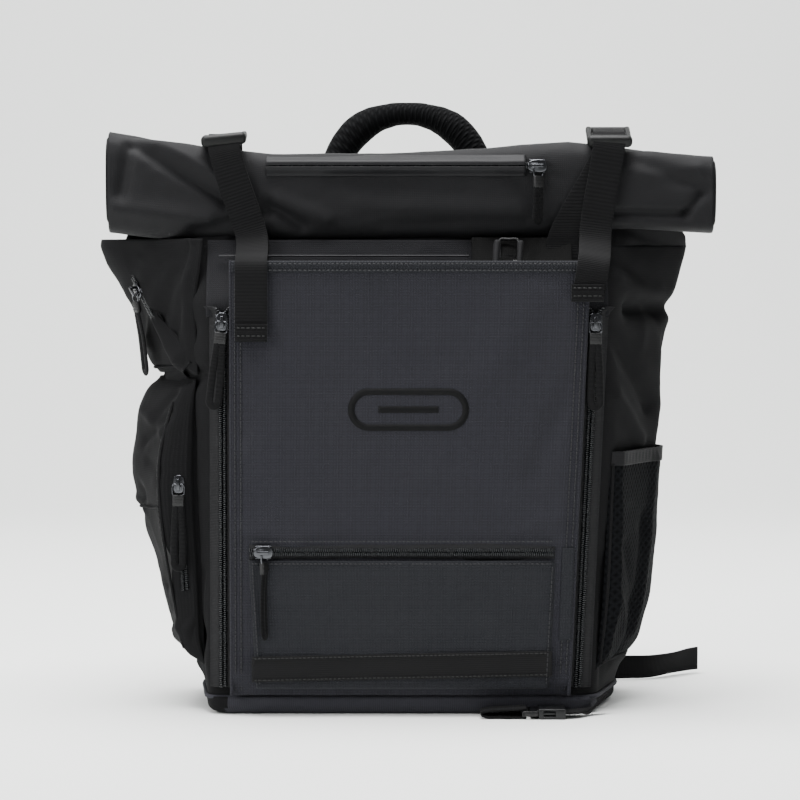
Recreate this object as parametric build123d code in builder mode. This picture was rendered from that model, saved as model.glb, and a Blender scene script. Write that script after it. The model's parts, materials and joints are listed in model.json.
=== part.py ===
from build123d import *
import os
from collections import namedtuple

# Roll-top flight backpack. The frame is millimetres: +X to the wearer's left
# (the viewer's right from the front), +Y towards the back pads, +Z up.
# The origin is on the floor under the middle of the base.

os.makedirs("parts", exist_ok=True)

# ---- Driving dimensions ----------------------------------------------------

# Main body: one cross-section per level, a hexagon with a ridge down each side.
# shift moves only the front corners sideways: the packed bag sits a little askew.
Level = namedtuple("Level", "z shift front side back y_front y_back")
base_thick = 14.0
rim_height = 368.0
mouth_height = 322.0
front_y = -80.0
mouth_y = -58.0
back_y = 80.0
ridge_y = 5.0
body_levels = [
    Level(base_thick, -4.0, 155.0, 163.0, 153.0, front_y, back_y),
    Level(55.0, -4.0, 158.0, 174.0, 160.0, front_y, back_y),
    Level(240.0, -4.0, 158.0, 202.0, 166.0, front_y, back_y),
    Level(mouth_height, -4.0, 158.0, 209.0, 170.0, front_y, back_y),
    Level(rim_height, -2.0, 160.0, 218.0, 172.0, mouth_y, back_y),
]
body_wall = 3.0
reach_all = 400.0  # longer than any piece, for boxes that only cut
corner_cut = 140.0
base_floor = 3.0
base_board_size = (262.0, 140.0, 3.0)
welt_out = 2.0
welt_height = 3.0

# Back of the bag
back_top = 415.0
back_top_half = (132.0, 126.0)
frame_sheet_size = (240.0, 2.0, 340.0)
frame_sheet_top = 360.0
back_pad_size = (62.0, 10.0, 266.0)
back_pad_foot = 66.0
back_pad_gap = 16.0
sleeve_size = (256.0, 5.0, 262.0)
sleeve_from_back = 30.0

# Roll: sections along X, each (x, lowest z, highest z)
roll_half = 238.0
roll_front_y = -60.0
roll_back_y = -12.0
roll_sections = [
    (-roll_half, 379.0, 457.0),
    (-155.0, 373.0, 443.5),
    (-110.0, 372.0, 438.0),
    (54.0, 373.0, 443.0),
    (125.0, 376.0, 449.5),
    (175.0, 380.0, 443.0),
    (roll_half, 378.5, 437.5),
]
roll_corner = 16.0
stay_size = (420.0, 1.6, 20.0)
stay_clearance = 0.4
stay_z = 408.0
collar_wall = 1.5
collar_top_half = (150.0, 196.0)
collar_top_front = (-54.0, 374.0)
collar_top_back = (-14.0, 425.0)
collar_ridge_share = 0.45

# Zips
tooth_width = 2.6
chain_gap = 2.0
chain_thick = 2.4
tape_thick = 1.0
tape_reach = 9.5
leg_thick = 1.2
leg_reach = 9.5
slider_length = 15.0
slider_width = 10.4
slider_plate = 1.3
slider_clearance = 0.3
post_length = 4.0
post_clearance = 0.3
crown_length = 9.0
crown_width = 2.4
crown_bar = 1.4
crown_hole = (5.8, 3.2)

# Zip pulls: a wire ring, a moulded keeper and a webbing loop
ring_wire = 1.2
ring_reach = 9.0
ring_over = 2.6
ring_under = 0.4
ring_width = 10.0
keeper_size = (10.0, 10.0, 3.4)
loop_size = (52.0, 10.0, 2.4)
loop_slot = 3.0
loop_ends = 12.0

# Webbing
strap_width = 25.0
strap_thick = 1.8
strap_gap = 0.3
small_strap_width = 20.0
small_strap_thick = 1.6

# Ladder locks on top of the roll, and the closure straps through them
lock_width = 34.0
lock_thick = 3.2
lock_bar = 4.0
lock_slot = 9.0
lock_front_y = -64.0
lock_slot_spare = 1.0
left_lock_x = -147.0
right_lock_x = 156.0
left_strap_foot_x = -124.0
right_run_foot_x = 119.0
right_tail_foot_x = 141.0
run_foot_z = 340.0
roll_foot_z = 372.0
left_tail_end = 294.0
right_tail_end = 325.0
tail_hem = 12.0
tie_foot_z = 345.0
tie_rise = 4.0

# Front panel: it covers the front wall and folds down about its foot
panel_face_y = -92.0
panel_thick = 3.0
panel_foot = 16.0
panel_top = 355.0
panel_edge_gap = 7.0
binding_height = 8.0
binding_thick = 1.0
zip_y = -86.0
zip_foot = 22.0
zip_top = 320.0
zip_left_x = -147.0
zip_right_top_x = 144.0
zip_right_foot_x = 130.5
front_slider_at = 286.0
left_pull_lean = -6.0

# Lower pocket, label band and emblem on the front panel
pocket_zip_z = 129.0
pocket_zip_x = (-126.0, 112.0)
pocket_slider_at = 11.0
pocket_thick = 4.0
pocket_cloth = 1.5
pocket_foot = 24.0
label_size = (234.0, 20.0)
label_z = 38.0
emblem_size = (94.0, 33.0)
emblem_at = (-2.0, 240.0)
emblem_thick = 0.6
emblem_line = 3.0

# Zips on the pockets stand this far off the cloth, so a slider clears it
pocket_zip_lift = 3.2
side_zip_lift = 4.6
side_leg_depth = 12.0

# Zip along the top of the roll
roll_zip_x = (-113.0, 106.0)
roll_zip_z = 430.0
roll_slider_at = 212.0
roll_loop_length = 30.0

# Side pockets: (height, how far the cloth stands off the body)
Pocket = namedtuple("Pocket", "bulges y_from y_to cloth")
upper_bulges = [(268.0, 6.0), (366.0, 16.0)]
upper_pocket = Pocket(upper_bulges, -66.0, 58.0, 1.5)
pouch_bulges = [(48.0, 6.0), (90.0, 22.0), (200.0, 28.0), (246.0, 20.0), (263.0, 6.0)]
pouch = Pocket(pouch_bulges, -62.0, 60.0, 1.5)
mesh_bulges = [(38.0, 3.0), (60.0, 10.0), (206.0, 10.0)]
mesh = Pocket(mesh_bulges, -72.0, 60.0, 1.0)
pocket_from_x = 152.0
hem_height = 11.0
hem_thick = 1.5
upper_zip_ends = ((276.0, 0.30), (361.0, 0.94))
upper_slider_at = 76.0
pouch_zip_ends = ((96.0, -178.0), (198.0, -184.0))
pouch_slider_at = 84.0

# Side-release buckle and its corner strap, lying in front of the base
buckle_width = 21.0
buckle_thick = 8.0
buckle_floor_gap = 0.4
buckle_y = -97.5
buckle_clearance = 0.4
socket_x = (99.0, 120.0)
socket_wall = 2.0
prong_length = 15.0
plug_x = 86.0
plug_bar = 2.8
plug_slot = 3.6
plug_tail_x = 54.0

# Handle
handle_half = 57.0
handle_foot_z = 404.0
handle_rise = 75.0
handle_y = 94.0
handle_radius = 10.5
anchor_size = (150.0, 3.2, 22.0)
anchor_z = 403.0

# Shoulder straps
shoulder_x = 62.0
shoulder_width = 56.0
shoulder_thick = 11.0
shoulder_y = 104.0
shoulder_top_z = 356.0
shoulder_foot_z = 150.0
shoulder_lock_size = (30.0, 4.0, 24.0)
webbing_foot_z = 24.0
left_webbing_tail_z = 40.0
floor_gap = 0.4
floor_tail = [(200.0, 107.8), (243.0, 143.0), (249.0, 148.0)]
floor_tail_from = 146.0  # where the tail's slanting fall reaches the floor

# Hook on a small strap inside the mouth of the front pocket
hook_x = 77.0
hook_wire = 2.4
hook_width = 14.0
inner_strap_size = (30.0, 10.0, 1.6)
inner_strap_foot = 334.0


def put(part, label):
    """Names a finished piece and writes its file."""
    part.label = label
    export_step(part, f"parts/{label}.step")


# ---- Sections and frames ---------------------------------------------------


def hexagon(level, grow=0.0):
    """One horizontal section of the body, with its cloth moved out by grow."""
    with BuildSketch(Plane.XY.offset(level.z)) as section:
        with BuildLine():
            Polyline(
                (level.shift - level.front - grow, level.y_front - grow),
                (level.shift + level.front + grow, level.y_front - grow),
                (level.side + grow, ridge_y),
                (level.back + grow, level.y_back + grow),
                (-level.back - grow, level.y_back + grow),
                (-level.side - grow, ridge_y),
                close=True,
            )
        make_face()
    return section.sketch.face()


def body_solid(grow=0.0):
    """The space the body fills, with its cloth moved out by grow."""
    with BuildPart() as solid:
        loft([hexagon(level, grow) for level in body_levels], ruled=True)
    return solid.part


def level_at(z):
    """The body's section at any height, between its levels."""
    for low, high in zip(body_levels, body_levels[1:]):
        if low.z <= z <= high.z:
            share = (z - low.z) / (high.z - low.z)
            return Level(*(a + (b - a) * share for a, b in zip(low, high)))
    raise ValueError(f"no body at height {z}")


def line_frame(low, high, outward):
    """A plane along a zip: x runs from low to high, z points out of the bag."""
    along = (Vector(high) - Vector(low)).normalized()
    out = Vector(outward)
    out = (out - along * out.dot(along)).normalized()
    return Plane(origin=low, x_dir=along, z_dir=out)


def side_frame(name):
    """Plane of one of the two front zips, with its origin at the zip's foot."""
    foot_x, top_x = {
        "left": (zip_left_x, zip_left_x),
        "right": (zip_right_foot_x, zip_right_top_x),
    }[name]
    return line_frame((foot_x, zip_y, zip_foot), (top_x, zip_y, zip_top), (0, -1, 0))


# ---- Zips, sliders and pulls -----------------------------------------------


def zip_half(frame, low, high, side, leg):
    """Half a zip: teeth, tape, and a leg that reaches what it is sewn to.

    side is +1 or -1 across the frame; leg is the depth to the sewn surface,
    positive into the bag and negative out of it.
    """
    middle, length = (low + high) / 2, high - low
    tooth_at = chain_gap / 2 + tooth_width / 2
    tape_from = chain_gap / 2 + tooth_width
    with BuildPart() as half:
        with BuildSketch(frame.offset(-chain_thick / 2)):
            with Locations((middle, side * tooth_at)):
                Rectangle(length, tooth_width)
        extrude(amount=chain_thick)
        with BuildSketch(frame.offset(-tape_thick / 2)):
            with Locations((middle, side * (tape_from + tape_reach) / 2)):
                Rectangle(length, tape_reach - tape_from)
        extrude(amount=tape_thick)
        with BuildSketch(frame):
            with Locations((middle, side * (leg_reach - leg_thick / 2))):
                Rectangle(length, leg_thick)
        extrude(amount=-leg)
    return half.part


def whole_zip(frame, low, high, leg):
    """Both halves of a closed zip, as two solids."""
    with BuildPart() as both:
        for side in (-1, 1):
            add(zip_half(frame, low, high, side, leg))
    return both.part


def make_slider(frame, at):
    """A slider round both rows of teeth, at a place along its frame."""
    channel = chain_thick + 2 * slider_clearance
    channel_width = chain_gap + 2 * tooth_width + 2 * slider_clearance
    thick = channel + 2 * slider_plate
    slot = tape_thick + 2 * slider_clearance
    place = Plane(
        origin=frame.from_local_coords((at, 0, 0)),
        x_dir=frame.x_dir,
        z_dir=frame.z_dir,
    )
    with BuildPart() as body:
        with BuildSketch(place.offset(-thick / 2)):
            RectangleRounded(slider_length, slider_width, 3)
        extrude(amount=thick)
        with BuildSketch(place.offset(-channel / 2)):
            Rectangle(slider_length + 2, channel_width)
        extrude(amount=channel, mode=Mode.SUBTRACT)
        with BuildSketch(place.offset(-slot / 2)):
            Rectangle(slider_length + 2, slider_width + 2)
        extrude(amount=slot, mode=Mode.SUBTRACT)
        with BuildSketch(place.offset(-channel / 2 - slider_plate / 2)):
            with Locations(((slider_length - post_length) / 2 - 0.5, 0)):
                Rectangle(post_length, chain_gap - 2 * post_clearance)
        extrude(amount=channel + slider_plate)
        with BuildSketch(place.offset(thick / 2)):
            Rectangle(crown_length, crown_width)
        extrude(amount=crown_hole[1] + crown_bar)
        with BuildSketch(place.offset(thick / 2)):
            Rectangle(crown_hole[0], crown_width + 2)
        extrude(amount=crown_hole[1], mode=Mode.SUBTRACT)
    return body.part


def pull_height():
    """How far the middle of the crown's hole stands from the zip's plane."""
    return chain_thick / 2 + slider_clearance + slider_plate + crown_hole[1] / 2


def make_pull(frame, at, lean=0.0, edge_on=False, loop_length=loop_size[0]):
    """A pull that hangs from the slider at a place along its frame.

    lean tips it sideways, in degrees. edge_on is for a zip that runs across:
    its ring passes through the crown upright, so the pull hangs edge to front.
    """
    pivot = frame.from_local_coords((at, 0, pull_height()))
    down = Vector(0, 0, -1)
    down = (down - frame.z_dir * down.dot(frame.z_dir)).normalized()
    down = down.rotate(Axis((0, 0, 0), frame.z_dir), lean)
    if edge_on:
        across = frame.x_dir
        ring_sides = (-ring_under, ring_width / 2)
        ring_ends = (-ring_over, ring_reach)
    else:
        across = frame.z_dir
        ring_sides = (-ring_width / 2, ring_width / 2)
        ring_ends = (0, ring_reach)
    flat = Plane(origin=pivot, x_dir=down, z_dir=across)
    if edge_on and flat.y_dir.dot(frame.z_dir) < 0:
        ring_sides = (-ring_width / 2, ring_under)
    corners = [
        (ring_ends[0], ring_sides[0]),
        (ring_ends[1], ring_sides[0]),
        (ring_ends[1], ring_sides[1]),
        (ring_ends[0], ring_sides[1]),
    ]
    keeper_from = ring_ends[1] - ring_wire
    loop_from = keeper_from + keeper_size[0]
    middle = sum(ring_sides) / 2
    with BuildPart() as pull:
        with BuildLine(flat) as path:
            FilletPolyline(*corners, radius=1.5, close=True)
        with BuildSketch(path.wire() ^ 0.05):
            Circle(ring_wire / 2)
        sweep(path=path.wire())
        with BuildSketch(flat.offset(-keeper_size[2] / 2)):
            with Locations((keeper_from + keeper_size[0] / 2, middle)):
                RectangleRounded(keeper_size[0], keeper_size[1], 1.5)
        extrude(amount=keeper_size[2])
        with BuildSketch(flat.offset(-loop_size[2] / 2)):
            with Locations((loop_from + loop_length / 2 - 1, middle)):
                RectangleRounded(loop_length, loop_size[1], 4)
                Rectangle(loop_length - loop_ends, loop_slot, mode=Mode.SUBTRACT)
        extrude(amount=loop_size[2])
    return pull.part


# ---- Sheets, webbing and pockets -------------------------------------------


def ribbon(points, thick):
    """The outline of a strip of even thickness along a run of 2-D points."""
    ends = [Vector(*point) for point in points]
    along = [(b - a).normalized() for a, b in zip(ends, ends[1:])]
    left, right = [], []
    for i, end in enumerate(ends):
        before, after = along[max(i - 1, 0)], along[min(i, len(along) - 1)]
        middle = (before + after).normalized()
        across = Vector(-middle.Y, middle.X)
        reach = thick / 2 / middle.dot(before)
        left.append(end + across * reach)
        right.insert(0, end - across * reach)
    with BuildSketch() as outline:
        with BuildLine():
            Polyline(*left, *right, close=True)
        make_face()
    return outline.sketch


def strip(points, thick, middle_x, width):
    """Webbing whose side view follows (y, z) points, width wide along X."""
    with BuildPart() as webbing:
        with BuildSketch(Plane.YZ.offset(middle_x - width / 2)):
            add(ribbon(points, thick))
        extrude(amount=width)
    return webbing.part


def mouth_wall_y(z):
    """Where the front wall's outer face is, above the mouth's fold."""
    share = (z - mouth_height) / (rim_height - mouth_height)
    return front_y + (mouth_y - front_y) * share


def grown_loft(bulges):
    """The body's sections between some heights, each grown by its own bulge."""
    with BuildPart() as solid:
        loft([hexagon(level_at(z), grow) for z, grow in bulges], ruled=True)
    return solid.part


def pocket_space(pocket, side, thinner=0.0, open_top=False):
    """What a side pocket fills outside the body, or its inside if thinner."""
    bulges = [(z, grow - thinner) for z, grow in pocket.bulges]
    low, high = bulges[0], bulges[-1]
    bulges[0] = (low[0] + thinner, low[1])
    if not open_top:
        bulges[-1] = (high[0] - thinner, high[1])
    length = pocket.y_to - pocket.y_from - 2 * thinner
    with BuildPart() as space:
        add(grown_loft(bulges))
        add(body_solid(), mode=Mode.SUBTRACT)
        middle_y = (pocket.y_from + pocket.y_to) / 2
        with Locations((side * (pocket_from_x + reach_all / 2), middle_y, 0)):
            Box(reach_all, length, 2 * reach_all, mode=Mode.INTERSECT)
    return space.part


def side_pocket(pocket, side, open_top=False):
    """A side pocket's cloth: hollow, and open towards the body's side."""
    with BuildPart() as cloth:
        add(pocket_space(pocket, side))
        add(pocket_space(pocket, side, pocket.cloth, open_top), mode=Mode.SUBTRACT)
    return cloth.part


def face_point(z, grow, share):
    """A point on the left front face, share of the way from corner to ridge."""
    level = level_at(z)
    corner = Vector(level.shift - level.front - grow, level.y_front - grow, z)
    ridge = Vector(-level.side - grow, ridge_y, z)
    return corner + (ridge - corner) * share


def pocket_zip_frame(pocket, ends):
    """The frame of a zip on a left pocket's front face, lifted off the cloth."""
    (low_z, low_share), (high_z, high_share) = ends
    low = face_point(low_z, bulge_at(pocket, low_z), low_share)
    high = face_point(high_z, bulge_at(pocket, high_z), high_share)
    middle_z = (low_z + high_z) / 2
    edge = face_point(middle_z, 0.0, 1.0) - face_point(middle_z, 0.0, 0.0)
    out = (high - low).cross(edge).normalized()
    lift = out * side_zip_lift
    return line_frame(low + lift, high + lift, out)


def bulge_at(pocket, z):
    """How far a pocket's cloth stands off the body at a height."""
    for (z_low, low), (z_high, high) in zip(pocket.bulges, pocket.bulges[1:]):
        if z_low <= z <= z_high:
            return low + (high - low) * (z - z_low) / (z_high - z_low)
    raise ValueError(f"no pocket at height {z}")


def zip_length(frame_ends_z, frame):
    """Length of a slanting zip between its two heights."""
    return (frame_ends_z[1] - frame_ends_z[0]) / frame.x_dir.Z


def side_zip(frame, length, pocket):
    """A closed zip whose legs are cut to the pocket's cloth."""
    with BuildPart() as both:
        add(whole_zip(frame, 0, length, side_leg_depth))
        add(pocket_space(pocket, -1), mode=Mode.SUBTRACT)
        add(body_solid(), mode=Mode.SUBTRACT)
    return both.part


# ---- Base ------------------------------------------------------------------

base_level = body_levels[0]
flat_base = base_level._replace(z=0.0)
floor_level = base_level._replace(z=base_floor)
welt_level = base_level._replace(z=base_thick - welt_height)

with BuildPart() as base_panel:
    extrude(hexagon(flat_base), amount=base_thick)
    extrude(hexagon(floor_level, -body_wall), amount=base_thick, mode=Mode.SUBTRACT)
put(base_panel.part, "base_panel")

with BuildPart() as base_board:
    with Locations((0, 0, base_floor + base_board_size[2] / 2)):
        Box(*base_board_size)
put(base_board.part, "base_board")

with BuildPart() as base_welt:
    extrude(hexagon(welt_level, welt_out), amount=welt_height)
    extrude(hexagon(flat_base), amount=base_thick, mode=Mode.SUBTRACT)
put(base_welt.part, "base_welt")

# ---- Walls: one shell, cut at four upright lines ---------------------------

with BuildPart() as walls:
    add(body_solid())
    add(body_solid(-body_wall), mode=Mode.SUBTRACT)

with BuildPart() as front_wall:
    add(walls.part)
    with Locations((0, ridge_y - reach_all / 2, 0)):
        Box(2 * corner_cut, reach_all, 2 * reach_all, mode=Mode.INTERSECT)
put(front_wall.part, "front_wall")

with BuildPart() as back_panel:
    add(walls.part)
    with Locations((0, ridge_y + reach_all / 2, 0)):
        Box(2 * corner_cut, reach_all, 2 * reach_all, mode=Mode.INTERSECT)
    with BuildSketch(Plane.XZ.offset(-back_y)):
        with BuildLine():
            Polyline(
                (-back_top_half[0], rim_height),
                (back_top_half[0], rim_height),
                (back_top_half[1], back_top),
                (-back_top_half[1], back_top),
                close=True,
            )
        make_face()
    extrude(amount=body_wall)
put(back_panel.part, "back_panel")

for name, side in (("left", -1), ("right", 1)):
    with BuildPart() as side_panel:
        add(walls.part)
        with Locations((side * (corner_cut + reach_all / 2), 0, 0)):
            Box(reach_all, 2 * reach_all, 2 * reach_all, mode=Mode.INTERSECT)
    put(side_panel.part, f"{name}_side_panel")

# ---- Inside and back -------------------------------------------------------

with BuildPart() as frame_sheet:
    sheet_y = back_y - body_wall - frame_sheet_size[1] / 2
    with Locations((0, sheet_y, frame_sheet_top - frame_sheet_size[2] / 2)):
        Box(*frame_sheet_size)
put(frame_sheet.part, "frame_sheet")

with BuildPart() as laptop_sleeve:
    sleeve_foot = base_floor + base_board_size[2]
    with Locations((0, back_y - sleeve_from_back, sleeve_foot + sleeve_size[2] / 2)):
        Box(*sleeve_size)
put(laptop_sleeve.part, "laptop_sleeve")

with BuildPart() as back_pad:
    pad_x = (back_pad_gap + back_pad_size[0]) / 2
    pad_y = back_y + back_pad_size[1] / 2
    pad_z = back_pad_foot + back_pad_size[2] / 2
    with Locations((-pad_x, pad_y, pad_z), (pad_x, pad_y, pad_z)):
        Box(*back_pad_size)
put(back_pad.part, "back_pad")

# ---- Roll ------------------------------------------------------------------


def roll_section(x, low, high):
    """One section of the roll, rounded, square to X."""
    with BuildSketch(Plane.YZ.offset(x)) as section:
        with Locations(((roll_front_y + roll_back_y) / 2, (low + high) / 2)):
            RectangleRounded(roll_back_y - roll_front_y, high - low, roll_corner)
    return section.sketch.face()


with BuildPart() as roll_solid:
    loft([roll_section(*section) for section in roll_sections], ruled=True)

stay_y = (roll_front_y + roll_back_y) / 2
with BuildPart() as roll_bundle:
    add(roll_solid.part)
    with Locations((0, stay_y, stay_z)):
        Box(*(size + 2 * stay_clearance for size in stay_size), mode=Mode.SUBTRACT)
put(roll_bundle.part, "roll_bundle")

with BuildPart() as roll_stay:
    with Locations((0, stay_y, stay_z)):
        Box(*stay_size)
put(roll_stay.part, "roll_stay")

# ---- Collar: cloth from the rim up into the roll ---------------------------


def collar_solid(shrink):
    """The space under the collar, from the rim to a sloping top section."""
    rim = hexagon(body_levels[-1], -shrink)
    front, back = Vector(*collar_top_front), Vector(*collar_top_back)
    slope = Plane(origin=(0, front.X, front.Y), x_dir=(1, 0, 0),
                  z_dir=(0, front.Y - back.Y, back.X - front.X))
    depth = (back - front).length
    corner, ridge = collar_top_half
    with BuildSketch(slope) as top:
        with BuildLine():
            Polyline(
                (-corner + shrink, shrink),
                (corner - shrink, shrink),
                (ridge - shrink, depth * collar_ridge_share),
                (corner - shrink, depth - shrink),
                (-corner + shrink, depth - shrink),
                (-ridge + shrink, depth * collar_ridge_share),
                close=True,
            )
        make_face()
    with BuildPart() as solid:
        loft([rim, top.sketch.face()], ruled=True)
    return solid.part


with BuildPart() as collar:
    add(collar_solid(0.0))
    add(collar_solid(collar_wall), mode=Mode.SUBTRACT)
    add(roll_solid.part, mode=Mode.SUBTRACT)
    add(back_panel.part, mode=Mode.SUBTRACT)
put(collar.part, "collar")

# ---- Side pockets ----------------------------------------------------------

put(side_pocket(upper_pocket, -1), "upper_side_pocket")
upper_frame = pocket_zip_frame(upper_pocket, upper_zip_ends)
upper_length = zip_length((upper_zip_ends[0][0], upper_zip_ends[1][0]), upper_frame)
put(side_zip(upper_frame, upper_length, upper_pocket), "upper_side_zip")

put(side_pocket(pouch, -1), "side_pouch")
pouch_zip_y = pouch.y_from - side_zip_lift
(pouch_zip_foot, pouch_foot_x), (pouch_zip_top, pouch_top_x) = pouch_zip_ends
pouch_frame = line_frame(
    (pouch_foot_x, pouch_zip_y, pouch_zip_foot),
    (pouch_top_x, pouch_zip_y, pouch_zip_top),
    (0, -1, 0),
)
pouch_length = zip_length((pouch_zip_foot, pouch_zip_top), pouch_frame)
put(side_zip(pouch_frame, pouch_length, pouch), "side_pouch_zip")

put(side_pocket(mesh, 1, open_top=True), "mesh_pocket")

with BuildPart() as mesh_pocket_hem:
    hem = mesh._replace(bulges=[(z, g + hem_thick) for z, g in mesh.bulges])
    add(pocket_space(hem, 1))
    add(pocket_space(mesh, 1), mode=Mode.SUBTRACT)
    with Locations((reach_all / 2, 0, mesh.bulges[-1][0] - hem_height / 2)):
        Box(reach_all, 2 * reach_all, hem_height, mode=Mode.INTERSECT)
put(mesh_pocket_hem.part, "mesh_pocket_hem")

# ---- Front zips: one half on the body, the other on the panel --------------

left_zip, right_zip = side_frame("left"), side_frame("right")
right_run = Vector(zip_right_top_x - zip_right_foot_x, 0, zip_top - zip_foot).length
left_run = zip_top - zip_foot
body_leg = front_y - zip_y
panel_leg = panel_face_y + panel_thick - zip_y

with BuildPart() as body_tapes:
    add(zip_half(left_zip, 0, left_run, 1, body_leg))
    add(zip_half(right_zip, 0, right_run, -1, body_leg))
put(body_tapes.part, "body_tapes")

with BuildPart() as panel_tapes:
    add(zip_half(left_zip, 0, left_run, -1, panel_leg))
    add(zip_half(right_zip, 0, right_run, 1, panel_leg))
put(panel_tapes.part, "panel_tapes")

# ---- Front panel and what is sewn on it ------------------------------------

panel_left = zip_left_x + panel_edge_gap
panel_right_foot = zip_right_foot_x - panel_edge_gap
panel_right_top = zip_right_top_x - panel_edge_gap

with BuildPart() as front_panel:
    with BuildSketch(Plane.XZ.offset(-panel_face_y - panel_thick)):
        with BuildLine():
            Polyline(
                (panel_left, panel_foot),
                (panel_right_foot, panel_foot),
                (panel_right_top, zip_top),
                (panel_right_top, panel_top),
                (panel_left, panel_top),
                close=True,
            )
        make_face()
    extrude(amount=panel_thick)
put(front_panel.part, "front_panel")


def on_panel(width, height, thick, x, z, face_y=panel_face_y):
    """A flat piece whose back lies on a face square to Y."""
    with BuildPart() as piece:
        with Locations((x, face_y - thick / 2, z)):
            Box(width, thick, height)
    return piece.part


binding_width = panel_right_top - panel_left
binding_x = (panel_right_top + panel_left) / 2
binding_z = panel_top - binding_height / 2
binding = on_panel(binding_width, binding_height, binding_thick, binding_x, binding_z)
put(binding, "front_panel_binding")

pocket_top = pocket_zip_z - leg_reach
pocket_width = pocket_zip_x[1] - pocket_zip_x[0]
pocket_x = (pocket_zip_x[0] + pocket_zip_x[1]) / 2
pocket_height = pocket_top - pocket_foot
pocket_z = pocket_foot + pocket_height / 2
pocket_hollow = pocket_thick - pocket_cloth
with BuildPart() as lower_pocket:
    add(on_panel(pocket_width, pocket_height, pocket_thick, pocket_x, pocket_z))
    with Locations((pocket_x, panel_face_y - pocket_hollow / 2, pocket_z)):
        Box(
            pocket_width - 2 * pocket_cloth,
            pocket_hollow,
            pocket_height - 2 * pocket_cloth,
            mode=Mode.SUBTRACT,
        )
put(lower_pocket.part, "lower_pocket")

pocket_zip = line_frame(
    (pocket_zip_x[0], panel_face_y - pocket_zip_lift, pocket_zip_z),
    (pocket_zip_x[1], panel_face_y - pocket_zip_lift, pocket_zip_z),
    (0, -1, 0),
)
put(whole_zip(pocket_zip, 0, pocket_width, pocket_zip_lift), "lower_pocket_zip")

put(
    on_panel(*label_size, small_strap_thick, pocket_x, label_z, panel_face_y - pocket_thick),
    "label_band",
)

with BuildPart() as emblem:
    with BuildSketch(Plane.XZ.offset(-panel_face_y)):
        with Locations(emblem_at):
            SlotOverall(*emblem_size)
            SlotOverall(*(size - 2 * emblem_line for size in emblem_size), mode=Mode.SUBTRACT)
            RectangleRounded(emblem_size[0] / 2, emblem_line, emblem_line * 0.45)
    extrude(amount=emblem_thick)
put(emblem.part, "emblem")

# ---- Ladder locks and closure straps ---------------------------------------

lock_depth = 3 * lock_bar + 2 * lock_slot


def ribbon_z(layer, under_z):
    """Middle height of a webbing layer stacked on the roll under a lock."""
    return under_z + strap_gap + strap_thick / 2 + layer * (strap_thick + strap_gap)


def roll_top_at(x):
    """Height of the roll's top line at a place along it."""
    for (x_low, _, low), (x_high, _, high) in zip(roll_sections, roll_sections[1:]):
        if x_low <= x <= x_high:
            return low + (high - low) * (x - x_low) / (x_high - x_low)
    raise ValueError(f"no roll at {x}")


def lock_seat(middle_x):
    """The highest the roll gets under a lock."""
    half = lock_width / 2
    heights = [roll_top_at(middle_x - half), roll_top_at(middle_x + half)]
    heights += [high for x, _, high in roll_sections if abs(x - middle_x) < half]
    return max(heights)


def ladder_lock(middle_x):
    """A lock with two slots: webbing goes up through the back one."""
    bottom = ribbon_z(1, lock_seat(middle_x)) + strap_thick / 2 + strap_gap
    middle_y = lock_front_y + lock_depth / 2
    slot_step = (lock_bar + lock_slot) / 2
    with BuildPart() as lock:
        with BuildSketch(Plane.XY.offset(bottom)):
            with Locations((middle_x, middle_y)):
                RectangleRounded(lock_width, lock_depth, 3)
            with Locations((middle_x, middle_y - slot_step), (middle_x, middle_y + slot_step)):
                Rectangle(strap_width + lock_slot_spare, lock_slot, mode=Mode.SUBTRACT)
        extrude(amount=lock_thick)
    return lock.part


def slanted(x_top, x_foot, z_top, z_foot, middle_y):
    """Webbing lying on the roll's front, its foot moved sideways from its top."""
    half = strap_width / 2
    with BuildPart() as webbing:
        with BuildSketch(Plane.XZ.offset(-middle_y - strap_thick / 2)):
            with BuildLine():
                Polyline(
                    (x_top - half, z_top),
                    (x_top + half, z_top),
                    (x_foot + half, z_foot),
                    (x_foot - half, z_foot),
                    close=True,
                )
            make_face()
        extrude(amount=strap_thick)
    return webbing.part


run_y = roll_front_y - strap_gap - strap_thick / 2
tail_y = run_y - strap_thick - strap_gap
panel_tail_y = panel_face_y - binding_thick - strap_gap - strap_thick / 2
slot_back_y = lock_front_y + 2 * lock_bar + lock_slot
first_slot_y = lock_front_y + lock_bar + lock_slot / 2


def strap_run(x_top, x_foot):
    """From the front wall up the roll's face and into the lock's back slot."""
    seat = lock_seat(x_top)
    low = ribbon_z(0, seat)
    over = low + 2 * (strap_thick + strap_gap) + lock_thick
    riser_y = slot_back_y + strap_gap + strap_thick / 2 + 1.0
    wall = Vector(mouth_y - front_y, rim_height - mouth_height).normalized()
    off = strap_thick / 2
    foot = (mouth_wall_y(run_foot_z) - wall.Y * off, run_foot_z + wall.X * off)
    rise = [foot, (run_y, roll_foot_z + 2), (run_y, roll_foot_z + 6)]
    into_lock = [(run_y, low - 3), (run_y, low), (riser_y, low), (riser_y, over)]
    with BuildPart() as run:
        add(strip(rise, strap_thick, x_foot, strap_width))
        add(slanted(x_top, x_foot, low, roll_foot_z + 5, run_y))
        add(strip(into_lock, strap_thick, x_top, strap_width))
    return run.part


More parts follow.
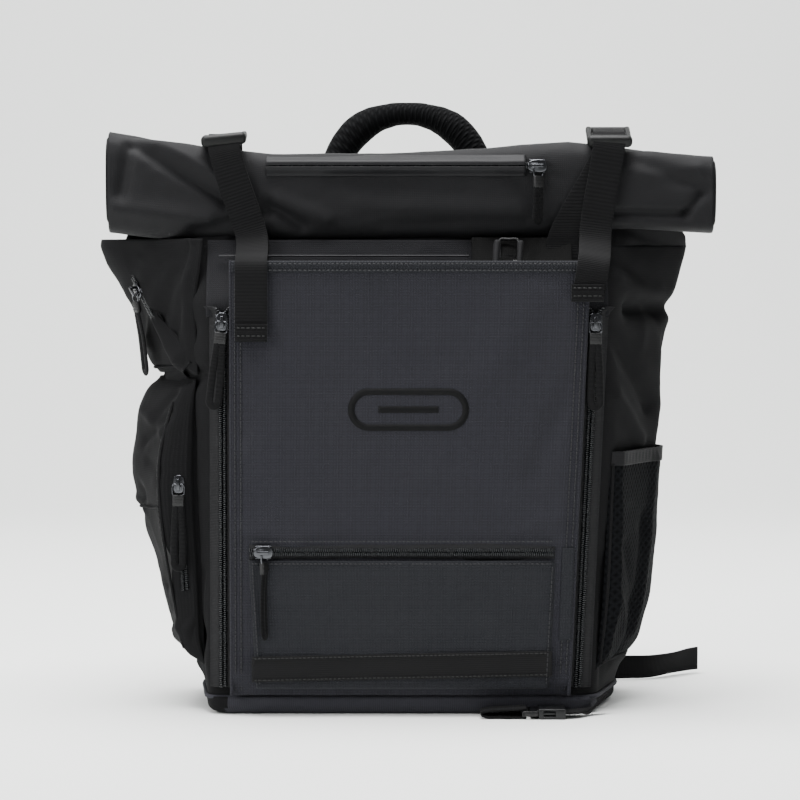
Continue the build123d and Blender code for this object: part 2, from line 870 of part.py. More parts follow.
def strap_tail(x_top, x_foot, end_z):
    """Over the lock's middle bar, out under its front bar and down the bag."""
    seat = lock_seat(x_top)
    under = ribbon_z(1, seat)
    over = under + strap_thick + lock_thick + 2 * strap_gap
    start_y = slot_back_y + strap_gap
    points = [(start_y, over), (first_slot_y, over), (first_slot_y, under)]
    points += [(tail_y, under), (tail_y, under - 3)]
    fall = [(tail_y, roll_foot_z + 6), (tail_y, roll_foot_z + 2), (panel_tail_y, panel_top + 2)]
    hem_y = panel_tail_y - strap_thick
    with BuildPart() as tail:
        add(strip(points, strap_thick, x_top, strap_width))
        add(slanted(x_top, x_foot, under, roll_foot_z + 5, tail_y))
        add(strip([*fall, (panel_tail_y, end_z)], strap_thick, x_foot, strap_width))
        with Locations((x_foot, hem_y, end_z + tail_hem / 2)):
            Box(strap_width, strap_thick, tail_hem)
    return tail.part


def lock_tie(x):
    """A short strap from the back of the rim, round the lock's back bar."""
    seat = lock_seat(x)
    bar_low = ribbon_z(1, seat) + strap_thick / 2 + strap_gap
    below = bar_low - strap_gap - strap_thick / 2
    above = bar_low + lock_thick + strap_gap + strap_thick / 2
    bar_front = lock_front_y + lock_depth - lock_bar
    turn_y = bar_front - strap_gap - strap_thick / 2
    back = back_y + strap_thick / 2
    leave_y = lock_front_y + lock_depth + 3
    turn = [(leave_y, below), (turn_y, below), (turn_y, above), (leave_y, above)]
    points = [*turn, (back, rim_height + tie_rise), (back, tie_foot_z)]
    return strip(points, strap_thick, x, strap_width)


put(ladder_lock(left_lock_x), "left_ladder_lock")
put(ladder_lock(right_lock_x), "right_ladder_lock")
put(strap_run(left_lock_x, left_strap_foot_x), "left_strap_run")
put(strap_run(right_lock_x, right_run_foot_x), "right_strap_run")
put(strap_tail(left_lock_x, left_strap_foot_x, left_tail_end), "left_strap_tail")
put(strap_tail(right_lock_x, right_tail_foot_x, right_tail_end), "right_strap_tail")

with BuildPart() as lock_ties:
    add(lock_tie(left_lock_x))
    add(lock_tie(right_lock_x))
put(lock_ties.part, "lock_ties")

# ---- Roll zip --------------------------------------------------------------

roll_zip_y = roll_front_y - pocket_zip_lift
roll_zip_low = (roll_zip_x[0], roll_zip_y, roll_zip_z)
roll_zip_high = (roll_zip_x[1], roll_zip_y, roll_zip_z)
roll_frame = line_frame(roll_zip_low, roll_zip_high, (0, -1, 0))
with BuildPart() as roll_zip:
    add(whole_zip(roll_frame, 0, roll_zip_x[1] - roll_zip_x[0], side_leg_depth))
    add(roll_solid.part, mode=Mode.SUBTRACT)
put(roll_zip.part, "roll_zip")

# ---- Sliders and pulls -----------------------------------------------------

sliders = [
    ("left_front", left_zip, front_slider_at, left_pull_lean, False, loop_size[0]),
    ("right_front", right_zip, front_slider_at, 0.0, False, loop_size[0]),
    ("lower_pocket", pocket_zip, pocket_slider_at, 0.0, True, loop_size[0]),
    ("roll_zip", roll_frame, roll_slider_at, 0.0, True, roll_loop_length),
    ("upper_side", upper_frame, upper_slider_at, 0.0, False, loop_size[0]),
    ("side_pouch", pouch_frame, pouch_slider_at, 0.0, False, loop_size[0]),
]
for name, frame, at, lean, edge_on, loop_length in sliders:
    put(make_slider(frame, at), f"{name}_slider")
    put(make_pull(frame, at, lean, edge_on, loop_length), f"{name}_pull")

# ---- Handle ----------------------------------------------------------------

with BuildPart() as grab_handle:
    with BuildLine(Plane.XZ.offset(-handle_y)) as arch:
        EllipticalCenterArc((0, handle_foot_z), handle_half, handle_rise, 0, arc_size=180)
    with BuildSketch(arch.line ^ 0):
        Circle(handle_radius)
    sweep()
    for foot_x in (-handle_half, handle_half):
        with Locations((foot_x, handle_y, handle_foot_z)):
            Sphere(handle_radius)
put(grab_handle.part, "grab_handle")

with BuildPart() as handle_anchor:
    with Locations((0, back_y + anchor_size[1] / 2, anchor_z)):
        Box(*anchor_size)
put(handle_anchor.part, "handle_anchor")

# ---- Shoulder straps -------------------------------------------------------

lock_top = shoulder_foot_z
lock_middle_z = lock_top - shoulder_lock_size[2] / 2
tail_face_y = shoulder_y + shoulder_lock_size[1] / 2
tail_top_z = lock_middle_z
webbing_y = back_y + small_strap_thick / 2


def shoulder_strap(side):
    """A padded strap, sewn to the back panel and hanging down behind it."""
    start_y = back_y
    points = [(start_y, shoulder_top_z), (shoulder_y, shoulder_top_z), (shoulder_y, shoulder_foot_z)]
    return strip(points, shoulder_thick, side * shoulder_x, shoulder_width)


def lower_webbing(side):
    """From the shoulder strap's lock down to the foot of the back panel."""
    low = [(shoulder_y, lock_top - shoulder_lock_size[2]), (shoulder_y, webbing_foot_z + 60)]
    low += [(webbing_y, webbing_foot_z + 14), (webbing_y, webbing_foot_z)]
    return strip(low, small_strap_thick, side * shoulder_x, small_strap_width)


put(shoulder_strap(-1), "shoulder_strap_left")
put(shoulder_strap(1), "shoulder_strap_right")

with BuildPart() as shoulder_ladder_locks:
    with Locations((-shoulder_x, shoulder_y, lock_middle_z), (shoulder_x, shoulder_y, lock_middle_z)):
        Box(*shoulder_lock_size)
put(shoulder_ladder_locks.part, "shoulder_ladder_locks")

with BuildPart() as shoulder_webbing_left:
    add(lower_webbing(-1))
    tail_middle_y = tail_face_y + small_strap_thick / 2
    with Locations((-shoulder_x, tail_middle_y, (tail_top_z + left_webbing_tail_z) / 2)):
        Box(small_strap_width, small_strap_thick, tail_top_z - left_webbing_tail_z)
put(shoulder_webbing_left.part, "shoulder_webbing_left")

edge_z = floor_gap + small_strap_width / 2
with BuildPart() as shoulder_webbing_right:
    add(lower_webbing(1))
    with BuildSketch(Plane.XZ.offset(-tail_face_y - small_strap_thick)):
        fall = [(shoulder_x, tail_top_z), (floor_tail_from, edge_z), (floor_tail[0][0], edge_z)]
        add(ribbon(fall, small_strap_width))
    extrude(amount=small_strap_thick)
    with BuildSketch(Plane.XY.offset(floor_gap)):
        bend = [(floor_tail[0][0] - 4, tail_face_y + small_strap_thick / 2), *floor_tail]
        add(ribbon(bend, small_strap_thick))
    extrude(amount=small_strap_width)
put(shoulder_webbing_right.part, "shoulder_webbing_right")

# ---- Corner strap and side-release buckle ----------------------------------

buckle_z = buckle_floor_gap + buckle_thick / 2
strap_half = small_strap_width / 2

with BuildPart() as corner_strap:
    with BuildSketch(Plane.XY.offset(buckle_z - small_strap_thick / 2)):
        with BuildLine():
            Polyline(
                (socket_x[1], buckle_y - strap_half),
                (socket_x[1] + 18, buckle_y - strap_half),
                (socket_x[1] + 30, front_y - 4),
                (socket_x[1] + 30, front_y),
                (socket_x[1] + 8, front_y),
                (socket_x[1], buckle_y + strap_half),
                close=True,
            )
        make_face()
    extrude(amount=small_strap_thick)
put(corner_strap.part, "corner_strap")

socket_size = (socket_x[1] - socket_x[0], buckle_width + 3, buckle_thick)
cavity = (prong_length + 2, buckle_width - 1, buckle_thick - 2 * socket_wall)
with BuildPart() as buckle_socket:
    with Locations((socket_x[0] + socket_size[0] / 2, buckle_y, buckle_z)):
        Box(*socket_size)
    with Locations((socket_x[0] + cavity[0] / 2 - 1, buckle_y, buckle_z)):
        Box(cavity[0] + 2, cavity[1], cavity[2], mode=Mode.SUBTRACT)
put(buckle_socket.part, "buckle_socket")

prong = [size - 2 * buckle_clearance for size in cavity]
bar_thick = buckle_thick - 2 * small_strap_thick - 2 * strap_gap
plug_length = socket_x[0] - buckle_clearance - plug_x
with BuildPart() as buckle_plug:
    with Locations((plug_x + plug_length / 2, buckle_y, buckle_z)):
        Box(plug_length, buckle_width + 3, bar_thick)
    with Locations((plug_x + plug_bar + plug_slot / 2, buckle_y, buckle_z)):
        Box(plug_slot, small_strap_width + 1, bar_thick + 2, mode=Mode.SUBTRACT)
    with Locations((plug_x + plug_length + prong_length / 2 - 0.5, buckle_y, buckle_z)):
        Box(prong_length, prong[1], prong[2])
        Box(prong_length, prong[1] / 2, prong[2] + 2, mode=Mode.SUBTRACT)
put(buckle_plug.part, "buckle_plug")

loop_end = plug_x + plug_bar + strap_gap + small_strap_thick
with BuildPart() as plug_tail:
    with Locations(((plug_tail_x + loop_end) / 2, buckle_y, buckle_z)):
        Box(loop_end - plug_tail_x, small_strap_width, buckle_thick)
        Box(
            loop_end - plug_tail_x - 2 * small_strap_thick,
            small_strap_width + 2,
            buckle_thick - 2 * small_strap_thick,
            mode=Mode.SUBTRACT,
        )
put(plug_tail.part, "plug_tail")

# ---- Hook inside the mouth of the front pocket -----------------------------

mouth_slope = Vector(0, mouth_y - front_y, rim_height - mouth_height).normalized()
strap_foot = Vector(hook_x, mouth_wall_y(inner_strap_foot), inner_strap_foot)
mouth_plane = Plane(origin=strap_foot, x_dir=mouth_slope, z_dir=(0, -mouth_slope.Z, mouth_slope.Y))
with BuildPart() as inner_strap:
    with BuildSketch(mouth_plane):
        with Locations((inner_strap_size[0] / 2, 0)):
            Rectangle(inner_strap_size[0], inner_strap_size[1])
    extrude(amount=inner_strap_size[2])
put(inner_strap.part, "inner_strap")

with BuildPart() as inner_hook:
    hook_plane = mouth_plane.offset(inner_strap_size[2] + strap_gap + hook_wire / 2)
    hook_foot, hook_top = inner_strap_size[0] - 8, inner_strap_size[0] + 10
    corners = [
        (hook_foot, -hook_width / 2),
        (hook_top, -hook_width / 2),
        (hook_top, hook_width / 2),
        (hook_foot, hook_width / 2),
    ]
    with BuildLine(hook_plane) as hook_line:
        FilletPolyline(*corners, radius=2, close=True)
    with BuildSketch(hook_line.wire() ^ 0.1):
        Circle(hook_wire / 2)
    sweep(path=hook_line.wire())
put(inner_hook.part, "inner_hook")
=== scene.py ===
"""Roll-top flight backpack: the looks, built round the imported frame.

Metres throughout: +X to the viewer's right from the front, +Y towards the back pads, +Z up.
"""

import json
import logging
import math
from dataclasses import dataclass
from enum import Enum
from typing import Callable, Sequence

import bmesh
import bpy
from mathutils import Matrix, Vector, noise

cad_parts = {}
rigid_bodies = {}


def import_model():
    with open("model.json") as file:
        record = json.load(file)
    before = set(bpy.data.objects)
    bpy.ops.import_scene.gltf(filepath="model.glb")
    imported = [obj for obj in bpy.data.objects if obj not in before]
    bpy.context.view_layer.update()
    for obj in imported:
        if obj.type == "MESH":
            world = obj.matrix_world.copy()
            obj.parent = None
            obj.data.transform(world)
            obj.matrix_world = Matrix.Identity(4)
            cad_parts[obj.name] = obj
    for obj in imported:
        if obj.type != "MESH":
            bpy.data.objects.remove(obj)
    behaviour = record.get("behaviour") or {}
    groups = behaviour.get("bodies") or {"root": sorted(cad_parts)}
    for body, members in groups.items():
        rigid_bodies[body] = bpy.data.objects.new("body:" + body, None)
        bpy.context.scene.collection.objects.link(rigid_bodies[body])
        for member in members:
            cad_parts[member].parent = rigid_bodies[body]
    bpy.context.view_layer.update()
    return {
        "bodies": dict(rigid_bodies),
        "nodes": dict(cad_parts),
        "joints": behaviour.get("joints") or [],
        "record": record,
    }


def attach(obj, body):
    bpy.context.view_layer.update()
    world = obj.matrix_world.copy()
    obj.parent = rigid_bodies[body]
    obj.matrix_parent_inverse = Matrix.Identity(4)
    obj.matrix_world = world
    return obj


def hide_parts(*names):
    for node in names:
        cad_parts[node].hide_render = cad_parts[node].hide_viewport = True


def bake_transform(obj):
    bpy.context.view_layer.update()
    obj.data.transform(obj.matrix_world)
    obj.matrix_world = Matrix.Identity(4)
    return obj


LOG = logging.getLogger("flight_bag")
Place = Callable[[float, float], Vector]


# ---- Finishes ---------------------------------------------------------------


def srgb(code: str) -> tuple[float, float, float, float]:
    """Turns a hex colour as the eye sees it into the renderer's linear one.

    Args:
        code: six hex digits.

    Returns:
        Linear red, green, blue and a full alpha.
    """
    parts = [int(code[i : i + 2], 16) / 255 for i in (0, 2, 4)]
    linear = [c / 12.92 if c <= 0.04045 else ((c + 0.055) / 1.055) ** 2.4 for c in parts]
    return (linear[0], linear[1], linear[2], 1.0)


def add_node(tree: bpy.types.NodeTree, kind: str, inputs: dict | None = None,
             **settings: object) -> bpy.types.Node:
    """Adds a shader node with its settings, plain values and links.

    Args:
        tree: the material's node tree.
        kind: the node's type name.
        inputs: socket name or number to a value, or to the socket that feeds it.
        **settings: the node's own properties.

    Returns:
        The new node.
    """
    made = tree.nodes.new(kind)
    for name, value in settings.items():
        setattr(made, name, value)
    for key, value in (inputs or {}).items():
        if isinstance(value, bpy.types.NodeSocket):
            tree.links.new(value, made.inputs[key])
        else:
            made.inputs[key].default_value = value
    return made


def new_material(name: str) -> tuple[bpy.types.Material, bpy.types.NodeTree, bpy.types.Node, bpy.types.Node]:
    """Starts a material.

    Args:
        name: what it is called.

    Returns:
        The material, its node tree, its shader and its texture coordinates.
    """
    made = bpy.data.materials.new(name)
    made.use_nodes = True
    tree = made.node_tree
    return made, tree, tree.nodes["Principled BSDF"], add_node(tree, "ShaderNodeTexCoord")


class Weave(Enum):
    """How a cloth's threads lie."""

    PLAIN = "plain"
    RIPSTOP = "ripstop"
    RIBBED = "ribbed"
    OPEN_MESH = "open mesh"
    AIR_MESH = "air mesh"


ACROSS = Vector((1, 0, 0))
FORWARD = Vector((0, -1, 0))
UPRIGHT = (ACROSS, Vector((0, 1, 0)), Vector((0, 0, 1)))
WAVE_TURN = 20.0  # a wave texture turns this many radians in one unit
PATCH_SCALE = 14.0  # dye patches about 70 mm across
FLECK_SCALE = 900.0  # fibre flecks about 1 mm across
SCUFF_SCALE = 160.0  # scuffs about 6 mm across


@dataclass(frozen=True)
class Cloth:
    """A woven or knitted cloth, its threads drawn in the piece's own UV map in metres.

    Attributes:
        name: what the cloth is.
        deep: colour down between the threads.
        high: colour on top of the threads.
        weave: how the threads lie.
        pitch: distance between threads.
        roughness: how matt it is.
        sheen: how much the fibre ends catch light that grazes them.
        relief: how high the threads stand.
        gloss: how much plain reflection it keeps.
    """

    name: str
    deep: str
    high: str
    weave: Weave
    pitch: float
    roughness: float = 0.8
    sheen: float = 0.1
    relief: float = 0.0003
    gloss: float = 0.2

    def wave(self, tree: bpy.types.NodeTree, vector: bpy.types.NodeSocket, way: str,
             pitch: float) -> bpy.types.NodeSocket:
        """One set of even threads.

        Args:
            tree: the material's node tree.
            vector: the UV coordinates.
            way: X, Y or DIAGONAL.
            pitch: distance between threads.

        Returns:
            A socket that runs from 0 between threads to 1 on them.
        """
        scale = 2 * math.pi / (WAVE_TURN * pitch)
        made = add_node(tree, "ShaderNodeTexWave", {"Vector": vector, "Scale": scale}, wave_type="BANDS",
                        bands_direction=way)
        return made.outputs["Fac"]

    def threads(self, tree: bpy.types.NodeTree, uv: bpy.types.NodeSocket) -> bpy.types.NodeSocket:
        """The height of the threads, from 0 to 1.

        Args:
            tree: the material's node tree.
            uv: the UV coordinates.

        Returns:
            The height socket.
        """
        if self.weave is Weave.RIBBED:
            return self.wave(tree, uv, "Y", self.pitch)
        if self.weave is Weave.OPEN_MESH:
            back = add_node(tree, "ShaderNodeMapping", {"Vector": uv, "Scale": (-1.0, 1.0, 1.0)})
            one = self.wave(tree, uv, "DIAGONAL", self.pitch)
            two = self.wave(tree, back.outputs[0], "DIAGONAL", self.pitch)
            return add_node(tree, "ShaderNodeMath", {0: one, 1: two}, operation="MAXIMUM").outputs[0]
        one = self.wave(tree, uv, "X", self.pitch)
        two = self.wave(tree, uv, "Y", self.pitch * (1.6 if self.weave is Weave.AIR_MESH else 1.0))
        if self.weave is Weave.AIR_MESH:
            return add_node(tree, "ShaderNodeMath", {0: one, 1: two}, operation="MULTIPLY").outputs[0]
        cross = add_node(tree, "ShaderNodeMath", {0: one, 1: two, 2: 0.5}, operation="MULTIPLY_ADD")
        if self.weave is Weave.PLAIN:
            return cross.outputs[0]
        cells = add_node(tree, "ShaderNodeTexBrick",
                         {"Vector": uv, "Scale": 1.0, "Mortar Size": self.pitch * 0.22, "Mortar Smooth": 0.6,
                          "Brick Width": self.pitch * 2.5, "Row Height": self.pitch * 2.5},
                         offset=0.0)
        return add_node(tree, "ShaderNodeMath", {0: cells.outputs["Fac"], 1: 0.38, 2: cross.outputs[0]},
                        operation="MULTIPLY_ADD").outputs[0]

    def material(self) -> bpy.types.Material:
        """The cloth's node tree.

        Returns:
            The finished material.
        """
        if self.name in bpy.data.materials:
            return bpy.data.materials[self.name]
        made, tree, shader, place = new_material(self.name)
        height = self.threads(tree, place.outputs["UV"])
        # Broad uneven patches, as dye and handling leave, and a fine fleck of loose fibre.
        spot = place.outputs["Object"]
        patches = add_node(tree, "ShaderNodeTexNoise", {"Vector": spot, "Scale": PATCH_SCALE, "Detail": 4.0})
        fleck = add_node(tree, "ShaderNodeTexNoise", {"Vector": spot, "Scale": FLECK_SCALE, "Detail": 2.0})
        lift = add_node(tree, "ShaderNodeMath", {0: fleck.outputs["Fac"], 1: 0.35, 2: height},
                        operation="MULTIPLY_ADD")
        shade = add_node(tree, "ShaderNodeMath", {0: patches.outputs["Fac"], 1: 0.5, 2: lift.outputs[0]},
                         operation="MULTIPLY_ADD")
        spread = add_node(tree, "ShaderNodeMapRange", {0: shade.outputs[0], 1: 0.2, 2: 1.7})
        colour = add_node(tree, "ShaderNodeMix", {0: spread.outputs[0], 6: srgb(self.deep),
                                                  7: srgb(self.high)},
                          data_type="RGBA")
        tree.links.new(colour.outputs[2], shader.inputs["Base Color"])
        rough = add_node(tree, "ShaderNodeMapRange",
                         {0: patches.outputs["Fac"], 3: self.roughness - 0.08, 4: self.roughness + 0.08})
        tree.links.new(rough.outputs[0], shader.inputs["Roughness"])
        bump = add_node(tree, "ShaderNodeBump",
                        {"Strength": 0.8, "Distance": self.relief, "Height": lift.outputs[0]})
        tree.links.new(bump.outputs[0], shader.inputs["Normal"])
        shader.inputs["Sheen Weight"].default_value = self.sheen * 0.25
        shader.inputs["Specular IOR Level"].default_value = self.gloss
        shader.inputs["Sheen Roughness"].default_value = 0.4
        return made


@dataclass(frozen=True)
class Hard:
    """A moulded plastic or plated metal.

    Attributes:
        name: what it is.
        colour: its colour.
        metallic: 1 for metal.
        roughness: how matt it is.
        grain: size of the surface's grain.
        relief: how deep the grain is.
        wear: how much lighter its scuffs are.
        gloss: how much plain reflection a plastic keeps.
    """

    name: str
    colour: str
    metallic: float = 0.0
    roughness: float = 0.4
    grain: float = 0.0006
    relief: float = 0.00004
    wear: float = 0.0015
    gloss: float = 0.36

    def material(self) -> bpy.types.Material:
        """The finish's node tree.

        Returns:
            The finished material.
        """
        if self.name in bpy.data.materials:
            return bpy.data.materials[self.name]
        made, tree, shader, place = new_material(self.name)
        spot = place.outputs["Object"]
        grain = add_node(tree, "ShaderNodeTexNoise", {"Vector": spot, "Scale": 1 / self.grain})
        scuffs = add_node(tree, "ShaderNodeTexNoise",
                          {"Vector": spot, "Scale": SCUFF_SCALE, "Detail": 6.0, "Roughness": 0.7})
        base = srgb(self.colour)
        worn = tuple(min(1.0, c * 1.5 + self.wear) for c in base[:3]) + (1.0,)
        where = add_node(tree, "ShaderNodeMapRange", {0: scuffs.outputs["Fac"], 1: 0.5, 2: 0.8})
        colour = add_node(tree, "ShaderNodeMix", {0: where.outputs[0], 6: base, 7: worn}, data_type="RGBA")
        tree.links.new(colour.outputs[2], shader.inputs["Base Color"])
        rough = add_node(tree, "ShaderNodeMapRange",
                         {0: scuffs.outputs["Fac"], 3: self.roughness - 0.08, 4: self.roughness + 0.1})
        tree.links.new(rough.outputs[0], shader.inputs["Roughness"])
        bump = add_node(tree, "ShaderNodeBump",
                        {"Strength": 0.6, "Distance": self.relief, "Height": grain.outputs["Fac"]})
        tree.links.new(bump.outputs[0], shader.inputs["Normal"])
        shader.inputs["Metallic"].default_value = self.metallic
        shader.inputs["Specular IOR Level"].default_value = 0.5 if self.metallic else self.gloss
        return made


# Ripstop nylon, woven with a thicker thread every few millimetres: matt charcoal with a fine square grid.
PANEL_RIPSTOP = Cloth("charcoal ripstop nylon", "121215", "222228", Weave.RIPSTOP, 0.0022, 0.86, 0.08, 0.0004)
POCKET_RIPSTOP = Cloth("pocket ripstop nylon", "101114", "1d1e22", Weave.RIPSTOP, 0.0022, 0.86, 0.08, 0.0004)
# Coated polyester plain weave: smooth and black, with a dull gloss where it stretches over a fold.
ROLL_POLYESTER = Cloth("black coated polyester", "070709", "111113", Weave.PLAIN, 0.0014, 0.74, 0.05, 0.0001)
SIDE_POLYESTER = Cloth("black side polyester", "0a0a0b", "171718", Weave.PLAIN, 0.0014, 0.86, 0.02, 0.0001,
                       0.08)
LINING = Cloth("charcoal lining", "0c0c0f", "161619", Weave.PLAIN, 0.0016, 0.88, 0.1, 0.0002)
# Painted shade: a near-black sheet standing in for the shadow deep in the mouth, where no light reaches.
MOUTH_SHADE_SHEET = Cloth("painted mouth shade", "000000", "030303", Weave.PLAIN, 0.0016, 0.95, 0.0, 0.0002)
# The base band: the same nylon as the panel, plain woven and a little lighter, so the foot of the bag reads.
BASE_NYLON = Cloth("charcoal base nylon", "1f1f23", "2f2f35", Weave.PLAIN, 0.0018, 0.85, 0.08, 0.0002)
# Polypropylene webbing: close cross ribs, darker down between them.
STRAP_WEBBING = Cloth("black ribbed webbing", "050506", "0e0e0f", Weave.RIBBED, 0.0016, 0.8, 0.12, 0.0002,
                      0.12)
BAND_WEBBING = Cloth("label webbing", "060607", "101011", Weave.RIBBED, 0.0016, 0.85, 0.1, 0.00015)
# Warp-knit mesh: open diamonds, so the cloth behind shows dark between lighter cords.
POCKET_MESH = Cloth("open knit mesh", "010101", "111214", Weave.OPEN_MESH, 0.0034, 0.85, 0.02, 0.0008, 0.05)
# Spacer mesh over foam: rows of small round dimples.
AIR_MESH = Cloth("padded air mesh", "020203", "111213", Weave.AIR_MESH, 0.0034, 0.9, 0.05, 0.0008, 0.1)
ZIP_TAPE = Cloth("woven zip tape", "08080a", "131315", Weave.RIBBED, 0.0012, 0.7, 0.08, 0.0002)
# Laminated film over a zip tape: smooth and a little greyer than the cloth.
WELDED_TAPE = Cloth("laminated zip film", "0e0e10", "161618", Weave.PLAIN, 0.002, 0.6, 0.0, 0.00003)
# Heat-pressed film: a smooth dark mark, glossier than the cloth round it.
PRESSED_FILM = Hard("heat pressed film", "020203", 0.0, 0.7, 0.002, 0.00003, 0.0, 0.15)
# Drawn polyester filament, so each coil turn carries a small bright glint.
COIL = Hard("polyester coil", "16181a", 0.0, 0.26, 0.001, 0.00002)
# Die-cast zinc plated in black nickel: dark, with hard bright edges.
BLACK_NICKEL = Hard("black nickel plate", "4a4b4e", 1.0, 0.22, 0.001, 0.00001)
# Acetal, injection moulded with a fine spark-eroded skin.
ACETAL = Hard("moulded acetal", "08080a", 0.0, 0.36, 0.0007, 0.00005)
LOCK_ACETAL = Hard("lock acetal", "0b0c0c", 0.0, 0.5, 0.0007, 0.00005, gloss=0.2)
SOFT_PVC = Hard("soft moulded keeper", "0b0b0c", 0.0, 0.5, 0.0008, 0.00005)
THREAD = Hard("bonded nylon thread", "17171a", 0.0, 0.6, 0.0004, 0.0001)
DARK_THREAD = Hard("black nylon thread", "090a0a", 0.0, 0.55, 0.0004, 0.0001)
STIFFENER = Hard("polyethylene sheet", "2a2a2a", 0.0, 0.5, 0.002, 0.00008)


# ---- Mesh tools -------------------------------------------------------------


def dress(obj: bpy.types.Object, finish: Cloth | Hard, body: str, *nodes: str) -> bpy.types.Object:
    """Gives a piece its material, its body and the frame nodes it stands for.

    Args:
        obj: the piece.
        finish: what it is made of.
        body: the frame body it moves with.
        *nodes: frame nodes that it stands for.

    Returns:
        The same piece.
    """
    obj.data.materials.clear()
    obj.data.materials.append(finish.material())
    if body:
        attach(obj, body)
    if nodes:
        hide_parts(*nodes)
    return obj


def to_object(name: str, mesh: bmesh.types.BMesh, smooth: bool = True) -> bpy.types.Object:
    """Turns a bmesh into an object at the origin.

    Args:
        name: the object's name.
        mesh: the bmesh, which is freed.
        smooth: whether faces are shaded smooth.

    Returns:
        The object, linked to the scene.
    """
    data = bpy.data.meshes.new(name)
    mesh.to_mesh(data)
    mesh.free()
    for face in data.polygons:
        face.use_smooth = smooth
    obj = bpy.data.objects.new(name.replace(" ", "_"), data)
    bpy.context.collection.objects.link(obj)
    return obj


def modifier(obj: bpy.types.Object, kind: str, **settings: object) -> None:
    """Adds a modifier with its settings.

    Args:
        obj: the piece.
        kind: the modifier's type name.
        **settings: its properties.
    """
    made = obj.modifiers.new(kind.title(), kind)
    for name, value in settings.items():
        setattr(made, name, value)


def surface(name: str, columns: int, rows: int, place: Place, size: tuple[float, float], outward: Vector,
            closed: bool = False, thick: float = 0.0012) -> bpy.types.Object:
    """A cloth sheet: a grid laid out by a function, then given its thickness inwards.

    Args:
        name: the piece's name.
        columns: faces across.
        rows: faces along.
        place: where (u, v), each from 0 to 1, lies.
        size: real width and height, for the UV map in metres.
        outward: a point inside, or behind, that the faces point away from.
        closed: whether the first and last columns meet.
        thick: the cloth's thickness, or 0 for a closed form.

    Returns:
        The piece.
    """
    mesh = bmesh.new()
    uv_map = mesh.loops.layers.uv.new("UVMap")
    bmesh.ops.create_grid(mesh, x_segments=columns, y_segments=rows, size=0.5)
    for face in mesh.faces:
        for loop in face.loops:
            at = loop.vert.co
            loop[uv_map].uv = ((at.x + 0.5) * size[0], (at.y + 0.5) * size[1])
    for vert in mesh.verts:
        vert.co = place(vert.co.x + 0.5, vert.co.y + 0.5)
    if closed:
        bmesh.ops.remove_doubles(mesh, verts=mesh.verts, dist=1e-6)
    mesh.normal_update()
    facing = sum(face.normal.dot(face.calc_center_median() - outward) * face.calc_area()
                 for face in mesh.faces)
    if facing < 0:
        bmesh.ops.reverse_faces(mesh, faces=mesh.faces)
    obj = to_object(name, mesh)
    if thick:
        modifier(obj, "SOLIDIFY", thickness=thick, offset=-1.0, use_even_offset=False)
    return obj


def close_seams(obj: bpy.types.Object, turn_out: bool = False) -> None:
    """Merges the points that meet at a piece's seams and poles.

    Args:
        obj: the piece.
        turn_out: whether to turn its faces outwards as well.
    """
    mesh = bmesh.new()
    mesh.from_mesh(obj.data)
    bmesh.ops.remove_doubles(mesh, verts=mesh.verts, dist=1e-6)
    if turn_out:
        bmesh.ops.recalc_face_normals(mesh, faces=mesh.faces)
    mesh.to_mesh(obj.data)
    mesh.free()


def smooth_step(low: float, high: float, value: float) -> float:
    """0 below low, 1 above high, and a soft rise between."""
    share = min(1.0, max(0.0, (value - low) / (high - low)))
    return share * share * (3 - 2 * share)


def along_points(points: Sequence[Vector], share: float) -> Vector:
    """A place on the smooth curve through some points.

    Args:
        points: the points, in order.
        share: 0 at the first and 1 at the last.

    Returns:
        The place.
    """
    last = len(points) - 1
    at = min(last - 1e-9, max(0.0, share * last))
    i = int(at)
    t = at - i
    before, start, end, after = (points[min(last, max(0, i + k))] for k in (-1, 0, 1, 2))
    return 0.5 * (2 * start + (end - before) * t + (2 * before - 5 * start + 4 * end - after) * t * t
                  + (3 * start - before - 3 * end + after) * t ** 3)


def table_at(table: Sequence[tuple[float, float]], key: float) -> float:
    """Reads a value off a short table of (key, value), straight between its rows."""
    if key <= table[0][0]:
        return table[0][1]
    for (low, a), (high, b) in zip(table, table[1:]):
        if key <= high:
            return a + (b - a) * (key - low) / (high - low)
    return table[-1][1]


def soft_table(table: Sequence[tuple[float, float]], key: float, soft: float) -> float:
    """The same, with its corners rounded over a distance."""
    return sum(table_at(table, key + soft * k / 3) for k in range(-3, 4)) / 7


def crumple(point: Vector, size: float, depth: float) -> float:
    """Random folds of cloth with fairly sharp crests.

    Args:
        point: where.
        size: distance between folds.
        depth: how deep they are.

    Returns:
        How far the cloth moves out.
    """
    at = point / size
    crest = 1 - 2 * abs(noise.noise(at))
    swell = noise.noise(at * 0.45 + Vector((3.1, 7.7, 1.3)))
    return depth * (0.55 * crest + 0.8 * swell)


@dataclass(frozen=True)
class Fold:
    """A crease or ridge along a line on a piece's own two coordinates.

    Attributes:
        start: where it starts.
        end: where it ends.
        width: how wide it is.
        rise: how high it stands; negative for a valley.
    """

    start: tuple[float, float]
    end: tuple[float, float]
    width: float
    rise: float

    def at(self, a: float, b: float) -> float:
        """How far the cloth stands out at a place."""
        run = (self.end[0] - self.start[0], self.end[1] - self.start[1])
        length = run[0] ** 2 + run[1] ** 2
        share = ((a - self.start[0]) * run[0] + (b - self.start[1]) * run[1]) / length
        share = min(1.0, max(0.0, share))
        gap = math.hypot(a - self.start[0] - run[0] * share, b - self.start[1] - run[1] * share)
        return self.rise * math.exp(-((gap / self.width) ** 2))


def folds_at(folds: Sequence[Fold], a: float, b: float) -> float:
    """What several folds add up to at a place."""
    return sum(fold.at(a, b) for fold in folds)


